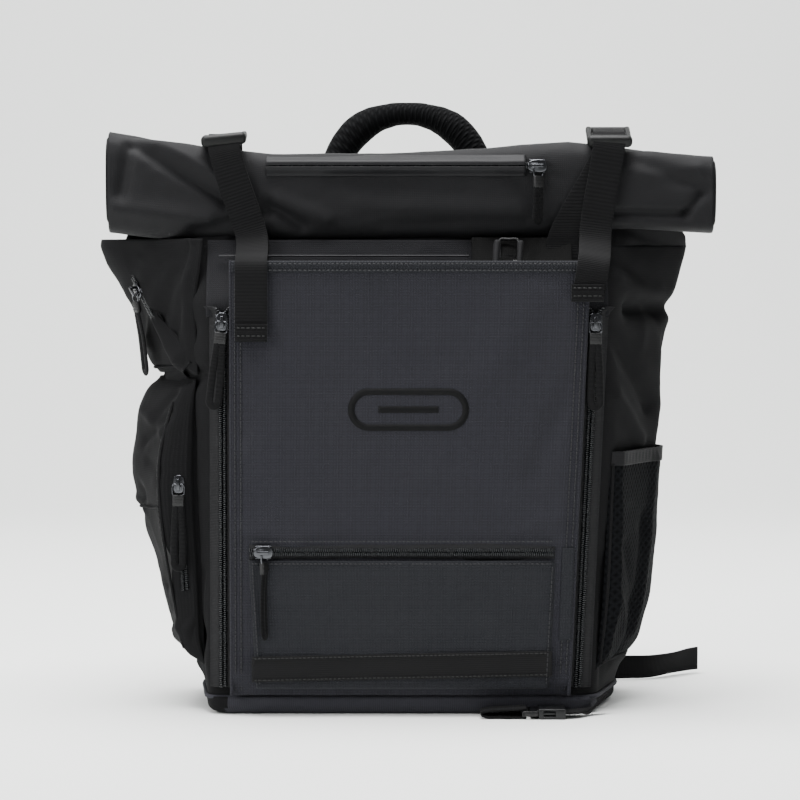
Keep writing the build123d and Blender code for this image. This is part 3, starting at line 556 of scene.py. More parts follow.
def webbing(name: str, route: Sequence[Vector], across: Sequence[Vector], width: float, thick: float,
            rows: int = 60) -> bpy.types.Object:
    """A flat strap along a smooth route.

    Args:
        name: the piece's name.
        route: the middle of the strap.
        across: the strap's width direction at each point of the route.
        width: the strap's width.
        thick: its thickness.
        rows: faces along it.

    Returns:
        The piece.
    """
    length = sum((b - a).length for a, b in zip(route, route[1:]))

    def place(u: float, v: float) -> Vector:
        """A point of the strap."""
        side = along_points(across, v).normalized()
        return along_points(route, v) + side * width * (u - 0.5)

    obj = surface(name, 6, rows, place, (width, length), Vector((0, 10, 0)), thick=0.0)
    modifier(obj, "SOLIDIFY", thickness=thick, offset=0.0, use_even_offset=True)
    modifier(obj, "BEVEL", width=0.0005, segments=2, limit_method="ANGLE")
    return obj


def block(mesh: bmesh.types.BMesh, centre: Vector, axes: Sequence[Vector], size: Sequence[float],
          bevel: float = 0.0, segments: int = 2) -> list[bmesh.types.BMVert]:
    """Adds a box with rounded edges, along its own three axes.

    Args:
        mesh: the bmesh to add to.
        centre: its middle.
        axes: its three directions.
        size: its three sizes.
        bevel: how much its edges are rounded.
        segments: steps in the rounding.

    Returns:
        The new corners.
    """
    turn = Matrix([axes[0], axes[1], axes[2]]).transposed().to_4x4()
    made = bmesh.ops.create_cube(mesh, size=1.0, matrix=Matrix.Translation(centre) @ turn
                                 @ Matrix.Diagonal((*size, 1.0)))
    verts = made["verts"]
    if bevel:
        edges = list({edge for vert in verts for edge in vert.link_edges})
        bmesh.ops.bevel(mesh, geom=edges, offset=bevel, offset_type="OFFSET", affect="EDGES",
                        segments=segments,
                        profile=0.5, material=-1)
    return verts


def stitches(name: str, route: Sequence[Vector], outward: Vector, finish: Hard, body: str,
             pitch: float = 0.0034) -> bpy.types.Object:
    """A row of lockstitches along a route, each a short rounded bar.

    Args:
        name: the piece's name.
        route: where the row runs.
        outward: away from the cloth.
        finish: the thread.
        body: the frame body it moves with.
        pitch: stitch length.

    Returns:
        The piece.
    """
    mesh = bmesh.new()
    length = sum((b - a).length for a, b in zip(route, route[1:]))
    count = max(2, int(length / pitch))
    for i in range(count):
        here = along_points(route, (i + 0.1) / count)
        there = along_points(route, (i + 0.85) / count)
        way = (there - here).normalized()
        side = way.cross(outward).normalized()
        block(mesh, (here + there) / 2 + outward * 0.0002, (way, side, way.cross(side)),
              ((there - here).length, 0.0008, 0.0006))
    return dress(to_object(name, mesh), finish, body)


def mm(x: float, y: float, z: float) -> Vector:
    """A point given in millimetres."""
    return Vector((x, y, z)) / 1000


def tube(name: str, route: Sequence[Vector], radius: float, up: Vector, closed: bool = False,
         flat: float = 1.0,
         rows: int = 48, sides: int = 12, widths: Sequence[tuple[float, float]] = ((0, 1),
                                                                                   (1,
                                                                                    1))) -> bpy.types.Object:
    """A round or flattened cord, wire or padded roll along a smooth route.

    Args:
        name: the piece's name.
        route: its middle line.
        radius: its radius.
        up: a direction never along the route; a flattened cord is thinnest along it.
        closed: whether it joins up with itself.
        flat: thickness along up, as a share of the width.
        rows: faces along it.
        sides: faces round it.
        widths: (share of its length, share of its radius) at a few places.

    Returns:
        The piece.
    """
    points = [*route, route[0]] if closed else list(route)
    length = sum((b - a).length for a, b in zip(points, points[1:]))
    caps = 0 if closed else 2

    def place(u: float, v: float) -> Vector:
        """A point of the cord's skin; the first and last rows close its ends."""
        row = round(v * rows)
        share = min(1.0, max(0.0, (row - caps) / (rows - 2 * caps)))
        end = min(row, rows - row) if caps else 2
        shrink, reach = ((0.0, 0.7), (0.75, 0.55), (1.0, 0.0))[min(2, end)]
        step = 0.5 / rows
        ahead = along_points(points, (share + step) % 1 if closed else min(1, share + step))
        behind = along_points(points, (share - step) % 1 if closed else max(0, share - step))
        way = (ahead - behind).normalized()
        side = way.cross(up).normalized()
        rise = side.cross(way)
        turn = u * 2 * math.pi
        swing = side * math.cos(turn) + rise * math.sin(turn) * flat
        sign = -1 if share < 0.5 else 1
        wide = radius * table_at(widths, share)
        return along_points(points, share) + swing * wide * shrink + way * wide * reach * sign

    obj = surface(name, sides, rows, place, (2 * math.pi * radius, length), Vector((0, 0, 0)), True, 0.0)
    close_seams(obj, turn_out=True)
    return obj


@dataclass(frozen=True)
class Place3:
    """A spot on the bag with its own directions, measured in millimetres.

    Attributes:
        origin: the spot, in metres.
        along: the direction along a zip.
        out: the direction out of the bag.
    """

    origin: Vector
    along: Vector
    out: Vector

    @property
    def across(self) -> Vector:
        """The third direction."""
        return self.out.cross(self.along)

    def at(self, a: float, b: float, c: float) -> Vector:
        """The point a along, b across and c out, in millimetres."""
        return self.origin + (self.along * a + self.across * b + self.out * c) / 1000


def place_between(low: Vector, high: Vector, out: Vector) -> Place3:
    """A spot whose along runs from one point to another."""
    along = (high - low).normalized()
    return Place3(low, along, (out - along * out.dot(along)).normalized())


# ---- Body -------------------------------------------------------------------


@dataclass(frozen=True)
class Level:
    """One level of the body: a hexagon with a ridge down each side, in millimetres."""

    z: float
    shift: float
    front: float
    side: float
    back: float
    y_front: float
    y_back: float


@dataclass
class BodyForm:
    """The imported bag's outline at every height.

    Attributes:
        levels: the hexagon at a few heights.
        ridge_y: where the ridge is, front to back.
        ridge_soft: how far the ridge is rounded.
    """

    levels: tuple[Level, ...] = (
        Level(13, -8, 151, 167, 153, -80, 80),
        Level(55, -9, 153, 178, 160, -80, 80),
        Level(240, -4, 158, 205, 166, -80, 80),
        Level(322, -4, 158, 212, 170, -80, 80),
        Level(368, -2, 160, 222, 172, -58, 80),
    )
    ridge_y: float = 5.0
    ridge_soft: float = 12.0

    def level(self, z: float) -> Level:
        """The outline at any height."""
        z = min(self.levels[-1].z, max(self.levels[0].z, z))
        for low, high in zip(self.levels, self.levels[1:]):
            if z <= high.z:
                share = (z - low.z) / (high.z - low.z)
                pairs = zip(vars(low).values(), vars(high).values())
                return Level(*(a + (b - a) * share for a, b in pairs))
        return self.levels[-1]

    def wing(self, hand: int, z: float) -> float:
        """How much further a side's ridge flares just under the roll."""
        return (17.0 if hand < 0 else 5.0) * smooth_step(285, 372, z)

    def flank_x(self, hand: int, y: float, z: float) -> float:
        """How far out the side is at a depth and height, its ridge rounded."""
        at = self.level(z)
        table = ((at.y_front, hand * at.shift + at.front), (self.ridge_y, at.side + self.wing(hand, z)),
                 (at.y_back, at.back))
        return soft_table(table, y, self.ridge_soft)

    def flank(self, hand: int, y: float, z: float, out: float) -> Vector:
        """A point standing off the side.

        Args:
            hand: -1 on the left and 1 on the right.
            y: front to back.
            z: height.
            out: distance off the cloth.

        Returns:
            The point, in metres.
        """
        slope = (self.flank_x(hand, y + 1, z) - self.flank_x(hand, y - 1, z)) / 2
        normal = Vector((hand, -slope, 0)).normalized()
        return mm(hand * self.flank_x(hand, y, z), y, z) + normal * out / 1000

    def ring(self, z: float, count: int = 480, soft: float = 12.0) -> list[Vector]:
        """The outline at a height as evenly spaced points, its corners rounded.

        Args:
            z: height.
            count: how many points.
            soft: how far the corners are rounded.

        Returns:
            The points in metres, from the middle of the back anticlockwise.
        """
        at = self.level(z)
        corners = [Vector((0, at.y_back)), Vector((-at.back, at.y_back)),
                   Vector((-at.side - self.wing(-1, z), self.ridge_y)),
                   Vector((at.shift - at.front, at.y_front)), Vector((at.shift + at.front, at.y_front)),
                   Vector((at.side + self.wing(1, z), self.ridge_y)), Vector((at.back, at.y_back)),
                   Vector((0, at.y_back))]
        steps = [(b - a).length for a, b in zip(corners, corners[1:])]
        total = sum(steps)

        def sharp(distance: float) -> Vector:
            """A point of the hexagon itself."""
            distance %= total
            for start, end, step in zip(corners, corners[1:], steps):
                if distance <= step:
                    return start.lerp(end, distance / step)
                distance -= step
            return corners[0]

        points = []
        for i in range(count):
            near = [sharp(total * i / count + soft * k / 3) for k in range(-3, 4)]
            mean = sum(near, Vector((0, 0))) / len(near)
            points.append(mm(mean.x, mean.y, z))
        return points


FORM = BodyForm()
# The frame's own plainer form, which the upper zip is set out from.
FRAME_FORM = BodyForm(levels=(Level(14, -4, 155, 163, 153, -80, 80), Level(55, -4, 158, 174, 160, -80, 80),
                              Level(240, -4, 158, 202, 166, -80, 80), Level(322, -4, 158, 209, 170, -80, 80),
                              Level(368, -2, 160, 218, 172, -58, 80)))
MOUTH_Z, RIM_Z = 322.0, 368.0
FRONT_Y, MOUTH_Y, BACK_Y = -80.0, -58.0, 80.0
DENT = Fold((72.0, 372.0), (98.0, 370.0), 30.0, -11.0)  # where the mouth gapes beside the right strap


@dataclass
class BodyShell:
    """The bag's four walls as one sewn tube, with the folds a full bag takes.

    Attributes:
        columns: faces round it.
        rows: faces up it.
        left_folds: folds in the left flank, in (front to back, height).
        right_folds: folds in the right flank.
    """

    columns: int = 300
    rows: int = 150
    left_folds: tuple[Fold, ...] = (
        Fold((-74, 268), (-20, 236), 7, -5), Fold((-60, 300), (10, 262), 9, -6),
        Fold((-20, 366), (30, 262), 12, 1.5),
        Fold((-66, 60), (30, 34), 10, -5), Fold((-70, 110), (-60, 20), 6, -3),
        Fold((-40, 34), (60, 42), 7, 4),
    )
    right_folds: tuple[Fold, ...] = (
        Fold((-74, 366), (-10, 316), 9, -6), Fold((-60, 345), (40, 300), 8, 5),
        Fold((-50, 318), (30, 318), 8, -9),
        Fold((-76, 300), (-20, 240), 8, -5), Fold((-70, 250), (-30, 214), 7, 4),
        Fold((0, 300), (20, 214), 10, -4),
        Fold((-76, 120), (-60, 20), 6, -3), Fold((-40, 34), (60, 42), 7, 4),
    )

    def out(self, point: Vector) -> float:
        """How far the cloth stands off the plain form at a point, in millimetres."""
        x, y, z = point * 1000
        side = smooth_step(120, 165, abs(x))
        back = smooth_step(60, 80, y)
        total = crumple(point + Vector((0.3, 0.1, 0.2)), 0.055, 2.6 * side * (1 - back))
        total += crumple(point, 0.02, 0.7 * (1 - back))
        total += side * folds_at(self.left_folds if x < 0 else self.right_folds, y, z) * (1 - back)
        total += folds_at((DENT,), x, z) if y < 0 else 0.0
        return total * smooth_step(13, 40, z)

    def build(self) -> None:
        """Builds the tube."""
        rings = [FORM.ring(13 + (RIM_Z - 13) * i / self.rows, self.columns) for i in range(self.rows + 1)]

        def place(u: float, v: float) -> Vector:
            """A point of the tube."""
            ring = rings[round(v * self.rows)]
            i = round(u * self.columns) % self.columns
            way = ring[(i + 2) % self.columns] - ring[i - 2]
            normal = Vector((way.y, -way.x, 0)).normalized()
            if normal.dot(Vector((ring[i].x, ring[i].y, 0))) < 0:
                normal = -normal
            return ring[i] + normal * self.out(ring[i]) / 1000

        obj = surface("body shell", self.columns, self.rows, place, (1.0, 0.355), Vector((0, 0, 0.19)), True,
                      0.002)
        dress(obj, SIDE_POLYESTER, "bag", "front_wall", "left_side_panel", "right_side_panel")
        self.back_panel()
        self.mouth_wall()
        LOG.info("body shell built")

    def back_panel(self) -> None:
        """The back panel's own cloth, up to the handle's seat."""

        def place(u: float, v: float) -> Vector:
            """A point of the panel."""
            half = table_at(((14, 150), (322, 166), (368, 150), (415, 128)), 14 + 401 * v)
            z = 14 + 401 * v
            push = crumple(mm(u * 300, 0, z), 0.06, 1.2)
            return mm((2 * u - 1) * half, BACK_Y + 1.2 + push * 0.4, z)

        obj = surface("back panel", 90, 120, place, (0.3, 0.4), Vector((0, 0, 0.2)), thick=0.0024)
        dress(obj, AIR_MESH, "bag", "back_panel")

    def mouth_wall(self) -> None:
        """The charcoal cloth that leans back above the front panel."""

        def place(u: float, v: float) -> Vector:
            """A point of the leaning wall."""
            x, z = -160 + 314 * u, 312 + 60 * v
            y = soft_table(((312, FRONT_Y), (MOUTH_Z, FRONT_Y), (374, -54.5)), z, 5)
            push = crumple(mm(x, 0, z), 0.03, 1.2) + folds_at((DENT,), x, z)
            return mm(x, y - 2.4 - push, z)

        obj = surface("mouth wall", 150, 34, place, (0.314, 0.06), Vector((0, 0, 0.34)), thick=0.0012)
        dress(obj, LINING, "bag")
        seam = [mm(x, -69.3 - 1.0 - 0.3 * math.sin(x), 359.5) for x in range(-150, 60, 15)]

        # Painted shadow: this near-black sheet stands in for the shade in the gap where the mouth gapes.
        def gape(u: float, v: float) -> Vector:
            """A point of the near-black sheet of painted shadow where the mouth gapes."""
            x = 48 + 78 * u
            z = 352 + 22 * v
            dip = 7 * math.sin(math.pi * u) ** 0.6 * v
            return mm(x, -74.5 + 14 * v + dip - 0.8 * math.sin(u * 21) - 1.6 * math.sin(u * 9 + v), z)

        dark = surface("painted mouth shadow", 60, 20, gape, (0.078, 0.022), Vector((0, 0, 0.34)), thick=0.001)
        dress(dark, MOUTH_SHADE_SHEET, "bag")
        dress(tube("mouth seam", seam, 0.0008, Vector((0, 0, 1)), rows=60, sides=8), THREAD, "bag")


@dataclass
class BaseTray:
    """The moulded-looking base band and the welt sewn round its top.

    Attributes:
        height: the band's height in millimetres.
        under: how far the bottom edge turns under; not used.
    """

    height: float = 14.0
    under: float = 7.0

    def build(self) -> None:
        """Builds the band, its floor and the welt."""
        ring = FORM.ring(13, 300)
        middle = sum(ring, Vector()) / len(ring)

        def place(u: float, v: float) -> Vector:
            """A point of the band; its last rows run to the middle of the floor."""
            at = ring[round(u * 300) % 300]
            row = round(v * 16)
            if row == 16:
                return Vector((middle.x, middle.y, 0.0))
            if row > 10:
                shrink = (1 - (row - 10) / 6) ** 0.8 * 0.915
                return Vector((at.x * shrink, at.y * shrink, 0.0002))
            forward = 0.0035 * smooth_step(0.07, 0.079, -at.y)
            turn = row / 10 * math.pi / 2
            drop = self.height * (1 - math.sin(turn) ** 0.8)
            in_by = 1 - 0.085 * (1 - math.cos(turn)) ** 1.5
            bulge = 1.0 + 0.006 * math.sin(turn * 2)
            share = in_by * bulge
            return Vector((at.x * share, at.y * share - forward * math.cos(turn) ** 0.5, drop / 1000))

        obj = surface("base tray", 300, 16, place, (1.0, 0.2), Vector((0, 0, 0.01)), True, 0.0)
        close_seams(obj)
        modifier(obj, "SOLIDIFY", thickness=0.0025, offset=-1.0)
        dress(obj, BASE_NYLON, "bag", "base_panel")
        # Behind the front corners the side cloth comes down over the band.
        obj.data.materials.append(SIDE_POLYESTER.material())
        for face in obj.data.polygons:
            at_side = face.center.y > -0.068 or face.center.x < -0.145
            face.material_index = int(at_side and face.center.z > 0.0005)
        welt = [point + Vector((point.x, point.y, 0)).normalized() * 0.0012 for point in FORM.ring(13.4, 120)]
        piping = tube("base welt", welt, 0.0017, Vector((0, 0, 1)), closed=True, rows=480, sides=10)
        dress(piping, BASE_NYLON, "bag", "base_welt")
        LOG.info("base built")


# ---- Zips -------------------------------------------------------------------


@dataclass
class ZipChain:
    """A closed coil zip: two rows of teeth on two woven tapes.

    Attributes:
        name: which zip.
        place: its spot, from its low end along its length.
        length: its length in millimetres.
        bodies: what its two sides ride on: +across first, then -across.
        depths: how far out each tape's outer edge lies.
        parted_at: where the rows start to part, above the slider.
        parting: how far they part.
        tape: how wide each tape is.
    """

    name: str
    place: Place3
    length: float
    bodies: tuple[str, str]
    depths: tuple[float, float] = (0.0, 0.0)
    parted_at: float = 1e6
    parting: float = 0.0
    tape: float = 9.5
    pitch: float = 1.6
    tape_finish: Cloth = ZIP_TAPE

    def gap(self, a: float) -> float:
        """How far each row has parted at a place along the zip."""
        return self.parting * max(0.0, a - self.parted_at) / max(1.0, self.length - self.parted_at)

    def teeth(self, side: int, body: str) -> bpy.types.Object:
        """One row of coil turns."""
        mesh = bmesh.new()
        turn = Matrix([self.place.along, self.place.across, self.place.out]).transposed().to_4x4()
        size = Matrix.Diagonal((self.pitch * 0.00042, 0.0018, 0.0013, 1.0))
        for i in range(int(self.length / self.pitch)):
            a = (i + (0.25 if side > 0 else 0.75)) * self.pitch
            at = self.place.at(a, side * (1.55 + self.gap(a)), 0)
            bmesh.ops.create_uvsphere(mesh, u_segments=6, v_segments=4, radius=1.0,
                                      matrix=Matrix.Translation(at) @ turn @ size)
        return dress(to_object(f"{self.name} teeth {side}", mesh), COIL, body)

    def tape_side(self, side: int, body: str, depth: float) -> bpy.types.Object:
        """One tape, which dips or rises to what it is sewn to."""

        def place(u: float, v: float) -> Vector:
            """A point of the tape."""
            a = v * self.length
            b = side * (0.8 + (self.tape - 0.8) * u + self.gap(a))
            return self.place.at(a, b, -0.6 + (depth + 0.6) * smooth_step(0.25, 1.0, u))

        back = self.place.at(self.length / 2, 0, -60)
        obj = surface(f"{self.name} tape {side}", 8, max(8, int(self.length / 4)), place,
                      (self.tape / 1000, self.length / 1000), back, thick=0.0007)
        return dress(obj, self.tape_finish, body)

    def build(self, *nodes: str) -> None:
        """Builds both rows and both tapes.

        Args:
            *nodes: the frame nodes they stand for: one for both, or one for each side.
        """
        for side, body, depth in zip((1, -1), self.bodies, self.depths):
            self.teeth(side, body)
            made = self.tape_side(side, body, depth)
            mine = nodes[0] if len(nodes) == 1 or side > 0 else nodes[1]
            if len(nodes) > 1 or side > 0:
                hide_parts(mine)


@dataclass
class Slider:
    """A zip slider with its crown.

    Attributes:
        body: the frame body and node it is.
        place: the zip's spot.
        at: where along the zip, in millimetres.
        length: its length.
        width: its widest.
    """

    body: str
    place: Place3
    at: float
    length: float = 15.0
    width: float = 10.4

    def plate(self, mesh: bmesh.types.BMesh, low: float, high: float) -> None:
        """One of the two plates, with shoulders wide at the top and narrow at the foot."""
        outline = []
        for i in range(24):
            turn = i / 24 * 2 * math.pi
            a, b = math.cos(turn), math.sin(turn)
            power = (abs(a) ** 3.2 + abs(b) ** 3.2) ** (-1 / 3.2)
            waist = 1.0 if a > 0 else 1.0 - 0.16 * min(1.0, -a * power)
            outline.append((a * power * self.length / 2, b * power * self.width / 2 * waist))
        made = bmesh.ops.create_circle(mesh, cap_ends=True, segments=24, radius=1.0)
        for vert, (a, b) in zip(made["verts"], outline):
            vert.co = self.place.at(self.at + a, b, low)
        face = made["verts"][0].link_faces[0]
        raised = bmesh.ops.extrude_face_region(mesh, geom=[face])
        top = [item for item in raised["geom"] if isinstance(item, bmesh.types.BMVert)]
        for vert in top:
            vert.co += self.place.out * (high - low) / 1000
        edges = {edge for vert in top for edge in vert.link_edges if all(v in top for v in edge.verts)}
        bmesh.ops.bevel(mesh, geom=list(edges), offset=0.0009, affect="EDGES", segments=3, profile=0.5,
                        material=-1)

    def build(self) -> None:
        """Builds the plates, flanges, post and crown."""
        mesh = bmesh.new()
        self.plate(mesh, 1.5, 2.9)
        self.plate(mesh, -2.8, -1.5)
        axes = (self.place.along, self.place.across, self.place.out)
        for side in (-1, 1):
            for c in (1.0, -1.0):
                block(mesh, self.place.at(self.at, side * 4.7, c), axes, (0.0125, 0.0009, 0.0012), 0.0003)
        block(mesh, self.place.at(self.at + 5.3, 0, 0), axes, (0.0036, 0.0013, 0.0034), 0.0003)
        for a in (-3.7, 3.7):
            block(mesh, self.place.at(self.at + a, 0, 4.6), axes, (0.0016, 0.0026, 0.0036), 0.0005)
        block(mesh, self.place.at(self.at, 0, 6.9), axes, (0.0094, 0.0028, 0.0015), 0.0006, 3)
        block(mesh, self.place.at(self.at - 2.2, 0, 3.1), axes, (0.006, 0.0044, 0.0007), 0.0003)
        bmesh.ops.recalc_face_normals(mesh, faces=mesh.faces)
        dress(to_object(self.body, mesh), BLACK_NICKEL, self.body, self.body)


@dataclass
class Pull:
    """A zip pull: a wire ring, a moulded keeper and a loop of webbing.

    Attributes:
        body: the frame body and node it is.
        pivot: the middle of the crown's hole.
        down: the way it hangs.
        face: the way its flat side faces.
        loop: the loop's length in millimetres.
        split: how far the two legs stand apart at the widest.
        offset: how far the ring's middle stands off the pivot, across.
    """

    body: str
    pivot: Vector
    down: Vector
    face: Vector
    loop: float = 52.0
    split: float = 6.8
    offset: float = 0.0

    def at(self, a: float, b: float, c: float = 0.0) -> Vector:
        """A point a down the pull, b across it and c off its face, in millimetres."""
        side = self.face.cross(self.down)
        return self.pivot + (self.down * a + side * (b + self.offset) + self.face * c) / 1000

    def build(self) -> None:
        """Builds the ring, keeper and loop."""
        corners = [(-0.2, -3.6), (-0.2, 0.0), (-0.2, 3.6), (1.6, 4.7), (4.5, 4.7), (7.4, 4.4), (8.6, 3.0),
                   (8.6, 0.0),
                   (8.6, -3.0), (7.4, -4.4), (4.5, -4.7), (1.6, -4.7)]
        ring = tube(f"{self.body} ring", [self.at(a, b) for a, b in corners], 0.00068, self.face, True,
                    rows=64)
        dress(ring, BLACK_NICKEL, self.body, self.body)
        mesh = bmesh.new()
        side = self.face.cross(self.down)
        block(mesh, self.at(12.6, 0), (self.down, side, self.face), (0.0095, 0.0094, 0.0036), 0.0012, 3)
        for a in (10.6, 12.6, 14.6):
            block(mesh, self.at(a, 0), (self.down, side, self.face), (0.0008, 0.0086, 0.0042), 0.0002)
        dress(to_object(f"{self.body} keeper", mesh), SOFT_PVC, self.body)
        foot = 16.0 + self.loop
        half = self.split / 2
        legs = [(16.0, -1.9), (22.0, -2.1), (22.0 + self.loop * 0.3, -half * 0.9), (foot - 10, -half),
                (foot - 4.5, -half * 0.9), (foot - 2.2, 0.0), (foot - 4.5, half * 0.9), (foot - 10, half),
                (22.0 + self.loop * 0.3, half * 0.9), (22.0, 2.1), (16.0, 1.9)]
        sway = [self.at(a, b, 0.5 * math.sin(a / 9)) for a, b in legs]
        loop = tube(f"{self.body} loop", sway, 0.0029, self.face, flat=0.42, rows=120)
        dress(loop, STRAP_WEBBING, self.body)


PULL_HEIGHT = 4.4
LEFT_ZIP = place_between(mm(-147, -86, 22), mm(-147, -86, 320), FORWARD)
RIGHT_ZIP = place_between(mm(130.5, -86, 22), mm(144, -86, 320), FORWARD)
POCKET_ZIP = place_between(mm(-126, -95.2, 129), mm(112, -95.2, 129), FORWARD)
POUCH_ZIP = place_between(mm(-178, -66.6, 96), mm(-184, -66.6, 198), FORWARD)
ROLL_ZIP = place_between(mm(-113, -63.2, 430), mm(106, -63.2, 430), FORWARD)


def hanging(place: Place3, lean: float = 0.0) -> Vector:
    """Straight down along a zip's face, tipped sideways by some degrees."""
    down = Vector((0, 0, -1))
    down = (down - place.out * down.dot(place.out)).normalized()
    return Matrix.Rotation(math.radians(lean), 3, place.out) @ down


@dataclass
class FrontZips:
    """The two zips beside the front panel, with their sliders and pulls."""

    slider_at: float = 286.0
    left_lean: float = -6.0

    def build(self) -> None:
        """Builds both zips."""
        ZipChain("left zip", LEFT_ZIP, 298, ("bag", "front_panel"), (-5.0, 2.2), self.slider_at + 7, 4.5,
                 10.5).build("body_tapes", "panel_tapes")
        length = (mm(144, 0, 320) - mm(130.5, 0, 22)).length * 1000
        ZipChain("right zip", RIGHT_ZIP, length, ("front_panel", "bag"), (2.2, -5.0), self.slider_at + 7, 4.5,
                 10.5).build("panel_tapes", "body_tapes")
        for name, place, lean in (("left_front", LEFT_ZIP, self.left_lean), ("right_front", RIGHT_ZIP, 0.0)):
            Slider(f"{name}_slider", place, self.slider_at).build()
            Pull(f"{name}_pull", place.at(self.slider_at, 0, PULL_HEIGHT), hanging(place, lean),
                 place.out).build()
        LOG.info("front zips built")


# ---- Front panel ------------------------------------------------------------


def panel_right(z: float) -> float:
    """The panel's right edge, in millimetres."""
    return table_at(((16, 123.2), (320, 137), (355, 137)), z)


@dataclass
class FrontPanel:
    """The ripstop front with its hem, lower pocket, label band and pressed emblem.

    Attributes:
        left: the left edge.
        foot: the lower edge.
        top: the upper edge.
        face_y: how far forward its face is.
        folds: slack folds in (across, height).
    """

    left: float = -140.0
    foot: float = 16.0
    top: float = 355.0
    face_y: float = -92.0
    folds: tuple[Fold, ...] = (
        Fold((-128, 300), (-60, 262), 16, -1.2), Fold((-120, 210), (-70, 150), 14, 1.4),
        Fold((100, 330), (60, 270), 18, 1.5), Fold((126, 262), (96, 190), 10, -1.4),
        Fold((20, 190), (110, 150), 16, 1.2), Fold((-20, 330), (10, 280), 20, -1.2),
        Fold((-134, 150), (-90, 136), 8, 1.2), Fold((124, 160), (80, 144), 7, 0.6),
    )

    def face(self, x: float, z: float) -> float:
        """How far forward the panel's cloth is at a place on it."""
        push = crumple(mm(x, 0, z), 0.07, 1.3) + crumple(mm(x, 9, z), 0.022, 0.3)
        push += 1.3 * folds_at(self.folds, x, z)
        tuck = 5.5 * (1 - smooth_step(14, 30, z))
        edge = min(1.0, (x - self.left) / 12, (panel_right(z) - x) / 12, (self.top + 5 - z) / 25)
        return self.face_y + tuck - push * edge - 0.2

    def build(self) -> None:
        """Builds the panel and all that is sewn on it."""

        def place(u: float, v: float) -> Vector:
            """A point of the panel."""
            z = self.foot + (self.top - self.foot) * v
            x = self.left + (panel_right(z) - self.left) * u
            return mm(x, self.face(x, z), z)

        obj = surface("front panel", 130, 160, place, (0.27, 0.339), Vector((0, 0, 0.19)), thick=0.0024)
        dress(obj, PANEL_RIPSTOP, "front_panel", "front_panel")
        self.hem()
        self.seams()
        self.pocket()
        self.band()
        self.emblem()
        LOG.info("front panel built")

    def hem(self) -> None:
        """The folded hem along the top, and its lighter turned edge."""

        def place(u: float, v: float) -> Vector:
            """A point of the hem."""
            x = self.left + 0.5 + (panel_right(355) - self.left - 1) * u
            z = 346.5 + 9.2 * v
            roll = 0.9 * math.sin(math.pi * min(1.0, v * 1.02)) ** 0.5
            return mm(x, self.face(x, z) - 0.5 - roll, z)

        obj = surface("top hem", 130, 10, place, (0.277, 0.009), Vector((0, 0, 0.19)), thick=0.001)
        dress(obj, POCKET_RIPSTOP, "front_panel", "front_panel_binding")
        for z in (348.2, 353.4):
            self.stitch_line([(self.left + 3, z), (-70, z), (0, z), (70, z), (134, z)], 2.0)

    def stitch_line(self, line: Sequence[tuple[float, float]], off: float = 0.4) -> None:
        """A row of stitches through (across, height) points, off the panel's face."""
        route = [mm(x, self.face(x, z) - off, z) for x, z in line]
        stitches("stitches", route, FORWARD, THREAD, "front_panel")

    def seams(self) -> None:
        """Edge stitching down both sides and the placket beside the right zip."""
        for edge in ("left", "right"):
            route = []
            for z in range(17, 356, 13):
                x = self.left if edge == "left" else panel_right(z)
                route.append(mm(x, self.face_y + 0.9, z))
            turned = tube(f"{edge} turned edge", route, 0.0015, Vector((0, 1, 0)), rows=120, sides=10)
            dress(turned, PANEL_RIPSTOP, "front_panel")
        for off in (3.0, 7.5):
            self.stitch_line([(self.left + off, z) for z in range(20, 345, 18)])
            self.stitch_line([(panel_right(z) - off, z) for z in range(20, 345, 18)])

        def placket(u: float, v: float) -> Vector:
            """A point of the placket."""
            z = 60 + 72 * v
            x = 115.5 + 9.5 * u + 2.6 * v
            return mm(x, self.face(x, z) - 0.9 - 0.5 * math.sin(math.pi * u), z)

        obj = surface("placket", 8, 40, placket, (0.0095, 0.072), Vector((0, 0, 0.1)), thick=0.001)
        dress(obj, POCKET_RIPSTOP, "front_panel")

    def pocket(self) -> None:
        """The flat lower pocket, its seams and its zip."""
        low, high = 22.0, 122.4

        def place(u: float, v: float) -> Vector:
            """A point of the pocket's cloth, which bellies out a little."""
            z = low + (high - low) * v
            left = table_at(((low, -121), (high, -127)), z)
            right = table_at(((low, 108), (high, 113)), z)
            x = left + (right - left) * u
            edge = min(u * 240, (1 - u) * 240, v * 98 + 2)
            off = 3.4 * smooth_step(-1.0, 4.0, edge) + 1.2 * smooth_step(0, 60, edge)
            push = crumple(mm(x, 4, z), 0.05, 0.8) + crumple(mm(x, 2, z), 0.018, 0.3)
            push += folds_at((Fold((-110, 104), (-60, 60), 10, 1.2), Fold((60, 100), (100, 60), 12, -1.2),
                              Fold((-40, 62), (60, 70), 12, 1.0)), x, z)
            return mm(x, self.face_y - off - push * smooth_step(2, 14, edge), z)

        obj = surface("lower pocket", 140, 60, place, (0.236, 0.098), Vector((0, 0, 0.07)), thick=0.0012)
        dress(obj, POCKET_RIPSTOP, "front_panel", "lower_pocket")
        for x_low, x_high in ((-118.2, -123.6), (105.4, 110.0)):
            route = [mm(table_at(((26, x_low), (118, x_high)), z), -96.8, z) for z in (26, 50, 74, 98, 118)]
            stitches("pocket stitches", route, FORWARD, THREAD, "front_panel")
        zip_body = ("front_panel", "front_panel")
        chain = ZipChain("lower pocket zip", POCKET_ZIP, 238, zip_body, (-2.6, -2.6), tape=6.6)
        chain.build("lower_pocket_zip")
        for c in (120.0, 137.4):
            route = [mm(x, -96.6, c) for x in range(-124, 112, 18)]
            stitches("zip edge stitches", route, FORWARD, THREAD, "front_panel")
        Slider("lower_pocket_slider", POCKET_ZIP, 11).build()
        pivot = POCKET_ZIP.at(11, 0, PULL_HEIGHT)
        face = Matrix.Rotation(math.radians(62), 3, Vector((0, 0, 1))) @ FORWARD
        Pull("lower_pocket_pull", pivot, Vector((0, 0, -1)), face, split=5.0, offset=2.0).build()

    def band(self) -> None:
        """The plain webbing band across the pocket's foot."""

